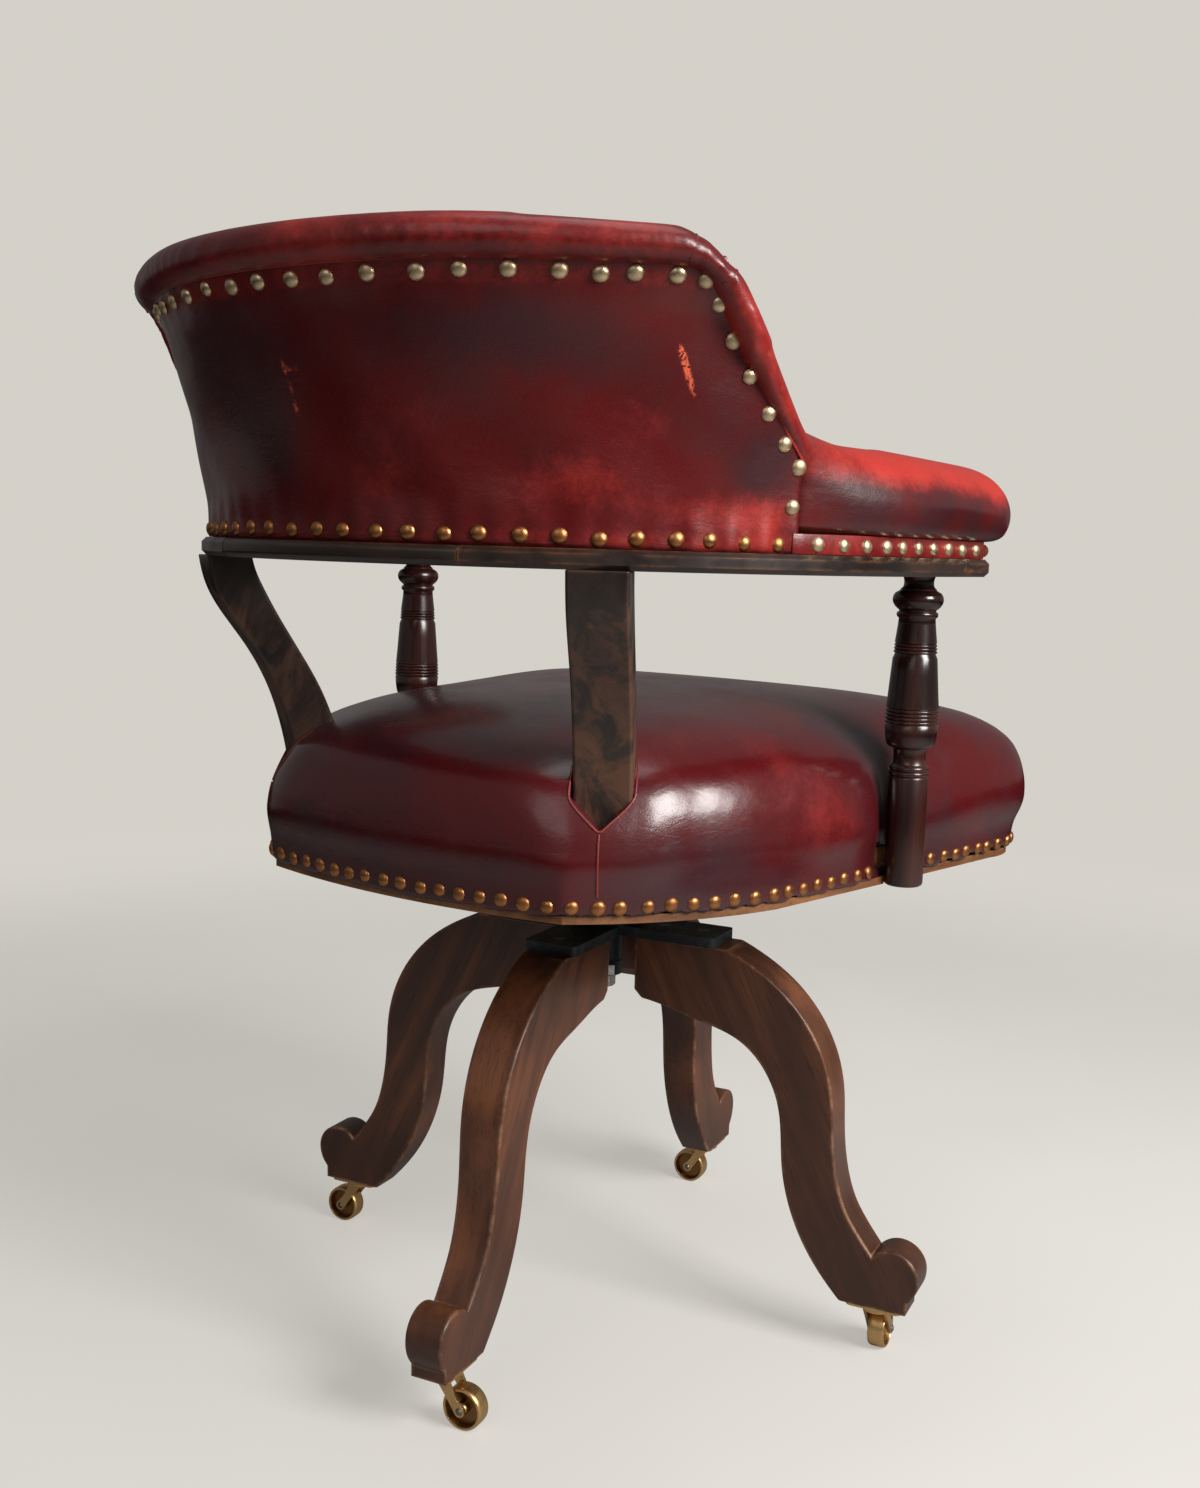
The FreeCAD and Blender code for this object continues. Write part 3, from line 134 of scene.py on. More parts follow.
def smooth_step(low: float, high: float, value: float) -> float:
    """Ease from 0 at low to 1 at high."""
    t = min(1.0, max(0.0, (value - low) / (high - low)))
    return t * t * (3.0 - 2.0 * t)


def bell(offset: float, width: float) -> float:
    """1 at no offset, falling off smoothly on both sides over a width."""
    return math.exp(-((offset / width) ** 2))


def flare_radius(z: float) -> float:
    """Radius of the back's outside at a height: it leans out towards the top roll."""
    share = (z - RAIL_TOP) / (BACK_TOP - RAIL_TOP)
    middle = (FLARE_MIDDLE_Z - RAIL_TOP) / (BACK_TOP - RAIL_TOP)
    rise = FLARE_MIDDLE_OUT / middle
    bend = (FLARE_TOP - FLARE_FOOT - rise) / (1.0 - middle)
    return FLARE_FOOT + rise * share + bend * share * (share - middle)


def shade(colour: Point, share: float) -> Point:
    """The same colour, darker."""
    return tuple(part * share for part in colour)


class Bench:
    """A material's shader tree, with short calls that add and join its nodes."""

    def __init__(self, name: str) -> None:
        """Start a material.

        Args:
            name: The finish's name.
        """
        self.material = bpy.data.materials.new(name)
        self.material.use_nodes = True
        self.tree = self.material.node_tree
        self.tree.nodes.clear()
        output = self.tree.nodes.new("ShaderNodeOutputMaterial")
        self.shader = self.tree.nodes.new("ShaderNodeBsdfPrincipled")
        self.tree.links.new(self.shader.outputs["BSDF"], output.inputs["Surface"])
        self._coords = self.tree.nodes.new("ShaderNodeTexCoord").outputs["Object"]

    def put(self, socket: bpy.types.NodeSocket, value: object) -> None:
        """Link a socket to another, or set it to a number or a colour."""
        if isinstance(value, bpy.types.NodeSocket):
            self.tree.links.new(value, socket)
        else:
            socket.default_value = value

    def attribute(self, name: str, vector: bool = False) -> bpy.types.NodeSocket:
        """Read a painted attribute of the mesh."""
        node = self.tree.nodes.new("ShaderNodeAttribute")
        node.attribute_name = name
        return node.outputs["Vector" if vector else "Fac"]

    def place(
        self,
        scale: Point = (1, 1, 1),
        turn: Point = (0, 0, 0),
        source: bpy.types.NodeSocket | None = None,
    ) -> bpy.types.NodeSocket:
        """Stretch or turn the texture space."""
        node = self.tree.nodes.new("ShaderNodeMapping")
        self.put(node.inputs["Vector"], source or self._coords)
        node.inputs["Scale"].default_value = scale
        node.inputs["Rotation"].default_value = [math.radians(a) for a in turn]
        return node.outputs["Vector"]

    def noise(
        self,
        scale: float,
        detail: float = 3.0,
        rough: float = 0.55,
        warp: float = 0.0,
        source: bpy.types.NodeSocket | None = None,
    ) -> bpy.types.NodeSocket:
        """Cloudy noise, about 0.5 on average."""
        node = self.tree.nodes.new("ShaderNodeTexNoise")
        self.put(node.inputs["Vector"], source or self._coords)
        node.inputs["Scale"].default_value = scale
        node.inputs["Detail"].default_value = detail
        node.inputs["Roughness"].default_value = rough
        node.inputs["Distortion"].default_value = warp
        return node.outputs["Fac"]

    def cells(self, scale: float, feature: str = "F1") -> bpy.types.NodeSocket:
        """Distances in a field of cells, for pores and grain."""
        node = self.tree.nodes.new("ShaderNodeTexVoronoi")
        node.feature = feature
        self.put(node.inputs["Vector"], self._coords)
        node.inputs["Scale"].default_value = scale
        return node.outputs["Distance"]

    def sum(self, op: str, a: object, b: object) -> bpy.types.NodeSocket:
        """A Math node of two values."""
        node = self.tree.nodes.new("ShaderNodeMath")
        node.operation = op
        self.put(node.inputs[0], a)
        self.put(node.inputs[1], b)
        return node.outputs[0]

    def plus(self, base: object, extra: object, gain: float, middle: float = 0.0) -> bpy.types.NodeSocket:
        """Add a second value, measured from its middle and multiplied."""
        if middle:
            extra = self.sum("SUBTRACT", extra, middle)
        return self.sum("ADD", base, self.sum("MULTIPLY", extra, gain))

    def remap(
        self, value: object, low: float, high: float, to_low: float = 0.0, to_high: float = 1.0
    ) -> bpy.types.NodeSocket:
        """Map a range smoothly onto another, clamped."""
        node = self.tree.nodes.new("ShaderNodeMapRange")
        node.interpolation_type = "SMOOTHSTEP"
        self.put(node.inputs["Value"], value)
        node.inputs["From Min"].default_value = low
        node.inputs["From Max"].default_value = high
        node.inputs["To Min"].default_value = to_low
        node.inputs["To Max"].default_value = to_high
        return node.outputs["Result"]

    def blend(self, share: object, first: object, second: object) -> bpy.types.NodeSocket:
        """Mix two colours."""
        node = self.tree.nodes.new("ShaderNodeMix")
        node.data_type = "RGBA"
        self.put(node.inputs[0], share)
        for socket, colour in ((node.inputs[6], first), (node.inputs[7], second)):
            if isinstance(colour, tuple):
                colour = (*colour, 1.0)
            self.put(socket, colour)
        return node.outputs[2]

    def bump(
        self, height: object, strength: float, distance: float, under: object = None
    ) -> bpy.types.NodeSocket:
        """Turn a height into a bumped normal."""
        node = self.tree.nodes.new("ShaderNodeBump")
        node.inputs["Strength"].default_value = strength
        node.inputs["Distance"].default_value = distance
        self.put(node.inputs["Height"], height)
        if under is not None:
            self.put(node.inputs["Normal"], under)
        return node.outputs["Normal"]

    def worn_edge(self, radius: float) -> bpy.types.NodeSocket:
        """A mask of 1 along sharp edges: where a rounded normal leaves the true one."""
        bevel = self.tree.nodes.new("ShaderNodeBevel")
        bevel.samples = 4
        bevel.inputs["Radius"].default_value = radius
        face = self.tree.nodes.new("ShaderNodeNewGeometry")
        dot = self.tree.nodes.new("ShaderNodeVectorMath")
        dot.operation = "DOT_PRODUCT"
        self.put(dot.inputs[0], bevel.outputs["Normal"])
        self.put(dot.inputs[1], face.outputs["True Normal"])
        return self.remap(dot.outputs["Value"], 0.998, 0.92)

    def finish(
        self, colour: object, rough: object, normal: object = None, **flat: float
    ) -> bpy.types.Material:
        """Join colour, roughness and normal to the shader and set its plain numbers."""
        self.put(self.shader.inputs["Base Color"], (*colour, 1.0) if isinstance(colour, tuple) else colour)
        self.put(self.shader.inputs["Roughness"], rough)
        if normal is not None:
            self.put(self.shader.inputs["Normal"], normal)
        for name, value in flat.items():
            self.shader.inputs[name.replace("_", " ").title().replace("Ior", "IOR")].default_value = value
        return self.material


@dataclass(frozen=True)
class LeatherFinish:
    """Oxblood hide: dark glazed patches, red where it is rubbed, orange where it is scuffed; the same dark
    and red tones also lay painted shade, painted sheen and painted highlight on some pieces.
    """

    name: str
    body: Point = (0.118, 0.0055, 0.0062)
    # The smoke tone also lays painted shade and a painted dull sheen; the rubbed tone also lays painted sheen
    # and highlight.
    smoke: Point = (0.032, 0.0055, 0.0080)
    rubbed: Point = (0.46, 0.024, 0.015)
    scuffed: Point = (0.80, 0.125, 0.045)
    gloss: float = 0.34
    coat: float = 0.14
    pore: float = 0.10

    def material(self) -> bpy.types.Material:
        """Build the leather's shader."""
        b = Bench(self.name)
        broad = b.noise(8.0, 3.0, 0.55, 0.6)
        cloud = b.noise(21.0, 4.0, 0.6)
        fine = b.noise(240.0, 5.0, 0.65)
        smoke = b.plus(b.plus(b.attribute("smoke"), broad, 2.2, 0.52), cloud, 0.9, 0.5)
        rub = b.plus(b.plus(b.attribute("rub"), cloud, 1.1, 0.5), fine, 0.5, 0.5)
        # Dark where smoky and where painted shade is laid; red where rubbed and where painted sheen is laid.
        smoke_and_shade_mask = b.remap(smoke, 0.0, 1.05)
        rub_and_sheen_mask = b.remap(rub, 0.12, 0.95)
        colour = b.blend(smoke_and_shade_mask, self.body, self.smoke)
        colour = b.blend(rub_and_sheen_mask, colour, self.rubbed)
        speck = b.remap(b.noise(620.0, 3.0, 0.7), 0.50, 0.72, 0.0, 0.32)
        colour = b.blend(speck, colour, shade(self.body, 0.45))
        torn = b.remap(b.noise(330.0, 4.0, 0.75, 1.0), 0.40, 0.52)
        scuff_mask = b.remap(b.sum("MULTIPLY", b.attribute("scuff"), torn), 0.12, 0.5)
        colour = b.blend(scuff_mask, colour, self.scuffed)
        rough = b.remap(cloud, 0.25, 0.75, self.gloss - 0.05, self.gloss + 0.09)
        rough = b.plus(b.plus(rough, rub_and_sheen_mask, 0.09), scuff_mask, 0.25)
        creases = b.noise(70.0, 5.0, 0.62, 0.8, b.place((1.0, 1.0, 2.2)))
        ripple = b.bump(creases, 0.16, 0.0016)
        pores = b.bump(b.cells(820.0), self.pore, 0.0005, ripple)
        return b.finish(
            colour, rough, pores, coat_weight=self.coat, coat_roughness=0.16, specular_ior_level=0.5
        )


@dataclass(frozen=True)
class WoodFinish:
    """Polished timber: streaks along the grain, dark pores, rubbed edges and worn patches, with painted shade
    and a painted highlight where they are laid.
    """

    name: str
    light: Point
    dark: Point
    worn: Point
    edge_wear: float = 0.5
    patches: float = 0.0
    gloss: float = 0.38
    coat: float = 0.12
    streak: float = 46.0

    def material(self) -> bpy.types.Material:
        """Build the wood's shader."""
        b = Bench(self.name)
        grain = b.attribute("grain", vector=True)
        streaks = b.noise(self.streak, 5.0, 0.6, 0.5, b.place((1, 1, 0.055), source=grain))
        bands = b.noise(self.streak * 0.35, 4.0, 0.55, 1.2, b.place((1, 1, 0.12), source=grain))
        pores = b.noise(900.0, 2.0, 0.5, 0.0, b.place((1, 1, 0.028), source=grain))
        cloud = b.noise(9.0, 3.0, 0.6, 0.4)
        tone = b.plus(b.sum("MULTIPLY", streaks, 0.62), bands, 0.48)
        colour = b.blend(b.remap(tone, 0.42, 0.68), self.dark, self.light)
        colour = b.blend(b.remap(cloud, 0.38, 0.70, 0.0, 0.55), colour, shade(self.dark, 0.55))
        pore_mask = b.remap(pores, 0.58, 0.68, 0.0, 0.55)
        colour = b.blend(pore_mask, colour, shade(self.dark, 0.30))
        scrape = b.noise(46.0, 7.0, 0.72, 0.6, b.place((1, 1, 0.30), source=grain))
        patch = b.plus(scrape, b.attribute("rub"), 0.5)
        patch_mask = b.remap(patch, 0.74 - self.patches, 0.98 - self.patches)
        edge = b.sum("MULTIPLY", b.worn_edge(0.0032), b.remap(b.noise(45.0, 4.0, 0.7), 0.40, 0.62))
        # Darker where painted: on the legs this is painted shade under the scrolled toes.
        soot_and_shade = b.remap(b.attribute("smoke"), 0.0, 1.0, 0.0, 0.8)
        colour = b.blend(soot_and_shade, colour, shade(self.dark, 0.6))
        # The worn colour on rubbed edges and patches also lays a painted highlight on the legs' knees.
        wear_and_highlight = b.sum("MAXIMUM", b.sum("MULTIPLY", edge, self.edge_wear), b.sum("MULTIPLY", patch_mask, 0.85))
        colour = b.blend(wear_and_highlight, colour, self.worn)
        rough = b.remap(streaks, 0.3, 0.7, self.gloss - 0.04, self.gloss + 0.10)
        rough = b.plus(rough, wear_and_highlight, 0.14)
        low = b.bump(b.noise(28.0, 3.0, 0.5), 0.10, 0.0012)
        fibre = b.bump(b.plus(streaks, pore_mask, -0.5), 0.13, 0.0006, low)
        return b.finish(colour, rough, fibre, coat_weight=self.coat, coat_roughness=0.22)


@dataclass(frozen=True)
class BrassFinish:
    """Brass that is bright on its crown and brown in its hollows."""

    name: str
    tone: BrassTone
    tarnish: float = 0.4
    gloss: float = 0.26

    def material(self) -> bpy.types.Material:
        """Build the brass shader."""
        b = Bench(self.name)
        cloud = b.noise(95.0, 4.0, 0.65)
        fine = b.noise(900.0, 3.0, 0.6)
        stain = b.remap(b.plus(cloud, fine, 0.25), 0.52, 0.86, 0.0, self.tarnish)
        stain = b.sum("MAXIMUM", stain, b.remap(b.attribute("smoke"), 0.0, 1.0, 0.0, 0.92))
        dull = tuple(c * k for c, k in zip(self.tone.value, (0.30, 0.22, 0.18)))
        colour = b.blend(stain, self.tone.value, dull)
        rough = b.remap(b.plus(cloud, fine, 0.4), 0.4, 1.0, self.gloss, self.gloss + 0.25)
        dents = b.bump(b.noise(420.0, 3.0, 0.5), 0.12, 0.0004)
        return b.finish(colour, rough, dents, metallic=1.0)


@dataclass(frozen=True)
class IronFinish:
    """Blacked iron with a rough skin and a trace of blue-green."""

    name: str
    dark: Point = (0.018, 0.022, 0.026)
    bloom: Point = (0.060, 0.078, 0.080)
    metallic: float = 0.25
    gloss: float = 0.52

    def material(self) -> bpy.types.Material:
        """Build the iron shader."""
        b = Bench(self.name)
        cloud = b.noise(26.0, 5.0, 0.65, 0.5)
        grit = b.noise(420.0, 4.0, 0.6)
        colour = b.blend(b.remap(cloud, 0.40, 0.66), self.dark, self.bloom)
        rust = b.remap(b.plus(cloud, grit, 0.3), 0.80, 0.92, 0.0, 0.5)
        colour = b.blend(rust, colour, (0.085, 0.035, 0.018))
        rough = b.remap(grit, 0.3, 0.7, self.gloss - 0.1, self.gloss + 0.14)
        skin = b.bump(b.plus(cloud, grit, 0.5), 0.35, 0.0008)
        return b.finish(colour, rough, skin, metallic=self.metallic)


@dataclass(frozen=True)
class WebFinish:
    """Jute webbing: two crossing sets of threads."""

    name: str

    def material(self) -> bpy.types.Material:
        """Build the webbing shader."""
        b = Bench(self.name)
        across = b.noise(1.0, 2.0, 0.5, 0.0, b.place((900, 60, 60)))
        along = b.noise(1.0, 2.0, 0.5, 0.0, b.place((60, 900, 60)))
        weave = b.sum("MULTIPLY", across, along)
        colour = b.blend(b.remap(weave, 0.12, 0.40), (0.16, 0.11, 0.06), (0.44, 0.34, 0.20))
        return b.finish(colour, 0.85, b.bump(weave, 0.5, 0.0006))


@dataclass(frozen=True)
class Finishes:
    """Every finish of the chair, built once."""

    leather: bpy.types.Material
    seat_leather: bpy.types.Material
    welt: bpy.types.Material
    mahogany: bpy.types.Material
    ebonised: bpy.types.Material
    stump_wood: bpy.types.Material
    post_wood: bpy.types.Material
    frame_wood: bpy.types.Material
    pale_brass: bpy.types.Material
    gold_brass: bpy.types.Material
    caster_brass: bpy.types.Material
    iron: bpy.types.Material
    steel: bpy.types.Material
    dull_steel: bpy.types.Material
    jute: bpy.types.Material

    @staticmethod
    def mix() -> "Finishes":
        """Build them all."""
        return Finishes(
            leather=LeatherFinish("oxblood_leather", smoke=(0.050, 0.0105, 0.0130)).material(),
            # The seat's greyer smoke tone also lays a painted dull sheen and shade round its lower side.
            seat_leather=LeatherFinish(
                "seat_leather", body=(0.092, 0.0048, 0.0066), smoke=(0.042, 0.0125, 0.0160),
                rubbed=(0.24, 0.010, 0.009), gloss=0.23, coat=0.30, pore=0.05,
            ).material(),
            # Lighter leather for the folded lips and seam at the stumps: the lighter tone is a painted
            # highlight along the folds.
            welt=LeatherFinish(
                "folded_leather", body=(0.24, 0.030, 0.030), smoke=(0.10, 0.020, 0.022), gloss=0.34
            ).material(),
            mahogany=WoodFinish(
                "mahogany", (0.205, 0.068, 0.027), (0.072, 0.0240, 0.0115), (0.48, 0.250, 0.140),
                edge_wear=0.95,
            ).material(),
            ebonised=WoodFinish(
                "ebonised_rail", (0.036, 0.018, 0.012), (0.012, 0.007, 0.006), (0.26, 0.085, 0.024),
                edge_wear=0.5, patches=0.03, gloss=0.34, coat=0.2,
            ).material(),
            stump_wood=WoodFinish(
                "worn_dark_wood", (0.040, 0.023, 0.016), (0.021, 0.013, 0.010), (0.140, 0.058, 0.031),
                edge_wear=0.6, patches=0.13, gloss=0.36, coat=0.2,
            ).material(),
            post_wood=WoodFinish(
                "polished_red_wood", (0.052, 0.011, 0.007), (0.012, 0.0048, 0.004), (0.17, 0.045, 0.022),
                edge_wear=0.25, gloss=0.20, coat=0.30,
            ).material(),
            frame_wood=WoodFinish(
                "plain_wood", (0.30, 0.125, 0.045), (0.15, 0.055, 0.020), (0.40, 0.19, 0.08),
                edge_wear=0.3, gloss=0.5, coat=0.0,
            ).material(),
            pale_brass=BrassFinish("pale_brass", BrassTone.PALE, tarnish=0.35, gloss=0.30).material(),
            gold_brass=BrassFinish("old_gold_brass", BrassTone.OLD_GOLD, tarnish=0.45, gloss=0.28).material(),
            caster_brass=BrassFinish("caster_brass", BrassTone.POLISHED, tarnish=0.20, gloss=0.22).material(),
            iron=IronFinish("blacked_iron").material(),
            steel=IronFinish(
                "bright_steel", (0.55, 0.54, 0.50), (0.40, 0.38, 0.34), metallic=1.0, gloss=0.34
            ).material(),
            dull_steel=IronFinish(
                "dull_screws", (0.16, 0.145, 0.125), (0.25, 0.22, 0.18), metallic=1.0, gloss=0.45
            ).material(),
            jute=WebFinish("jute_webbing").material(),
        )


def meshed(bm: bmesh.types.BMesh, name: str) -> bpy.types.Mesh:
    """A new mesh of a bmesh, which is freed."""
    mesh = bpy.data.meshes.new(name)
    bm.to_mesh(mesh)
    bm.free()
    return mesh


def linked(name: str, data: bpy.types.ID) -> bpy.types.Object:
    """A new object of some data, in the scene."""
    obj = bpy.data.objects.new(name, data)
    bpy.context.scene.collection.objects.link(obj)
    return obj


def evaluated_mesh(obj: bpy.types.Object) -> bpy.types.Mesh:
    """A new mesh of an object as it shows, with its modifiers applied."""
    bpy.context.view_layer.update()
    return bpy.data.meshes.new_from_object(obj.evaluated_get(bpy.context.evaluated_depsgraph_get()))


class Workshop:
    """Turns bmeshes into finished pieces that ride on their bodies."""

    def __init__(self, frame: dict) -> None:
        """Keep the loaded frame.
        """
        self.nodes: dict[str, bpy.types.Object] = frame["nodes"]

    def piece(
        self,
        bm: bmesh.types.BMesh,
        name: str,
        body: str,
        finish: bpy.types.Material,
        sharp: float = 35.0,
    ) -> bpy.types.Object:
        """Make an object of a bmesh, shade it and let it ride.

        Args:
            bm: The mesh, in place; it is freed.
            name: The piece's name.
            body: The body that carries it.
            finish: Its material.
            sharp: Edges that turn by more degrees than this stay sharp.

        Returns:
            The new object.
        """
        mesh = meshed(bm, name)
        for polygon in mesh.polygons:
            polygon.use_smooth = True
        mesh.set_sharp_from_angle(angle=math.radians(sharp))
        mesh.materials.append(finish)
        obj = linked(name, mesh)
        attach(obj, body)
        LOG.info("made %s: %d faces", name, len(mesh.polygons))
        return obj

    def copy_of(self, node: str) -> bmesh.types.BMesh:
        """A clean bmesh copy of a CAD node: merged corners, no split flats."""
        bm = bmesh.new()
        bm.from_mesh(self.nodes[node].data)
        bmesh.ops.remove_doubles(bm, verts=bm.verts, dist=1e-5)
        bmesh.ops.dissolve_degenerate(bm, edges=bm.edges, dist=2e-6)
        bmesh.ops.dissolve_limit(bm, angle_limit=math.radians(0.6), verts=bm.verts, edges=bm.edges)
        return bm

    def join(self, bm: bmesh.types.BMesh, other: bmesh.types.BMesh) -> None:
        """Add a second bmesh to a first one, and free it."""
        carrier = meshed(other, "carrier")
        bm.from_mesh(carrier)
        bpy.data.meshes.remove(carrier)

    def eased(
        self,
        node: str,
        body: str,
        finish: bpy.types.Material,
        width: float,
        slot: str,
        grain: Callable[[Vector], Vector] | None = None,
        segments: int = 2,
    ) -> bpy.types.Object:
        """Replace a rigid node by a copy whose sharp edges are eased.

        Args:
            node: The CAD node.
            body: The body that carries it.
            finish: Its material.
            width: Width of the eased edges.
            slot: The record's material slot; not used.
            grain: Maps a point to the grain's own space, its z along the fibres.
            segments: Steps across an eased edge.

        Returns:
            The piece that stands for the node.
        """
        bm = self.copy_of(node)
        edges = [
            e for e in bm.edges
            if len(e.link_faces) == 2 and e.calc_face_angle(0.0) > SHARP_EDGE
            and e.calc_length() > width
        ]
        bmesh.ops.bevel(
            bm, geom=edges, offset=width, offset_type="OFFSET", segments=segments, profile=0.5,
            affect="EDGES", clamp_overlap=True, material=-1,
        )
        obj = self.piece(bm, f"{node}_finish", body, finish, sharp=50.0)
        weighted = obj.modifiers.new("even_light", "WEIGHTED_NORMAL")
        weighted.keep_sharp = True
        weighted.weight = 100
        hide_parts(node)
        paint_grain(obj, grain or (lambda p: p))
        return obj

    def keep(self, node: str, finish: bpy.types.Material) -> None:
        """Give a CAD node that stays its finish."""
        data = self.nodes[node].data
        data.materials.clear()
        data.materials.append(finish)
        paint_grain(self.nodes[node], lambda p: Vector((p.x, p.z, p.y)))


def paint(obj: bpy.types.Object, name: str, rule: Callable[[Vector], float]) -> None:
    """Store a number at each point of a mesh for its finish to read."""
    attribute = obj.data.attributes.get(name) or obj.data.attributes.new(name, "FLOAT", "POINT")
    for index, vertex in enumerate(obj.data.vertices):
        attribute.data[index].value = rule(vertex.co)


def paint_evenly(obj: bpy.types.Object, **values: float) -> None:
    """Store one number all over a mesh for each attribute named."""
    for name, value in values.items():
        paint(obj, name, lambda p, level=value: level)


def paint_grain(obj: bpy.types.Object, rule: Callable[[Vector], Vector]) -> None:
    """Store the grain's own coordinates at each point."""
    attribute = obj.data.attributes.get("grain") or obj.data.attributes.new("grain", "FLOAT_VECTOR", "POINT")
    for index, vertex in enumerate(obj.data.vertices):
        attribute.data[index].vector = rule(vertex.co)


@dataclass(frozen=True)
class Patch:
    """A soft-edged spot on the leather."""

    centre: Vector
    size: float
    strength: float = 1.0
    tall: float = 1.0

    def at(self, point: Vector) -> float:
        """The spot's strength at a point."""
        gap = point - self.centre
        gap.z /= self.tall
        return self.strength * math.exp(-gap.length_squared / (self.size * self.size))


def spots(rows: Iterable[Sequence[float]]) -> list[Patch]:
    """Patches from rows of x, y, z, size and strength."""
    return [Patch(Vector((x, y, z)), size, strength) for x, y, z, size, strength in rows]


def paint_patches(obj: bpy.types.Object, name: str, base: float, patches: Iterable[Patch]) -> None:
    """Paint a base value and the sum of some patches."""
    patches = list(patches)
    paint(obj, name, lambda p: base + sum(patch.at(p) for patch in patches))


def spun(
    profile: Sequence[tuple[float, float]], steps: int, around: Vector = Vector(), sweep: float = 360.0,
    start: float = 0.0,
) -> bmesh.types.BMesh:
    """Spin an outline of (radius, z) points about an upright axis.

    Args:
        profile: The outline's points.
        steps: Segments round the whole sweep.
        around: A point on the axis.
        sweep: Degrees turned, clockwise from above when negative.
        start: The outline's angle from +Y towards +X.

    Returns:
        The spun surface.
    """
    bm = bmesh.new()
    theta = math.radians(start)
    outline = [
        bm.verts.new((around.x + r * math.sin(theta), around.y + r * math.cos(theta), z)) for r, z in profile
    ]
    edges = [bm.edges.new(pair) for pair in zip(outline, outline[1:])]
    whole = abs(abs(sweep) - 360.0) < 1e-6
    bmesh.ops.spin(
        bm, geom=outline + edges, cent=around, axis=(0, 0, 1), angle=math.radians(sweep), steps=steps,
        use_merge=whole, use_duplicate=False,
    )
    bmesh.ops.remove_doubles(bm, verts=bm.verts, dist=1e-7)
    bmesh.ops.recalc_face_normals(bm, faces=bm.faces)
    return bm


def rod(name: str, points: Sequence[Vector], radius: float, closed: bool = False) -> bmesh.types.BMesh:
    """A thin round rod along a smooth line, as a bmesh."""
    curve = bpy.data.curves.new(name, "CURVE")
    curve.dimensions = "3D"
    curve.bevel_depth = radius
    curve.bevel_resolution = 2
    curve.use_fill_caps = not closed
    spline = curve.splines.new("NURBS")
    spline.points.add(len(points) - 1)
    for spot, point in zip(spline.points, points):
        spot.co = (*point, 1.0)
    spline.use_cyclic_u = closed
    spline.order_u = 3
    spline.use_endpoint_u = not closed
    holder = linked(name, curve)
    mesh = evaluated_mesh(holder)
    bm = bmesh.new()
    bm.from_mesh(mesh)
    bmesh.ops.remove_doubles(bm, verts=bm.verts, dist=1e-6)
    bpy.data.objects.remove(holder)
    bpy.data.curves.remove(curve)
    bpy.data.meshes.remove(mesh)
    return bm


def relax(bm: bmesh.types.BMesh, verts: Iterable[bmesh.types.BMVert], rounds: int) -> None:
    """Draw points halfway to the mean of their neighbours, again and again."""
    for _ in range(rounds):
        bmesh.ops.smooth_vert(bm, verts=verts, factor=0.5, use_axis_x=True, use_axis_y=True, use_axis_z=True)


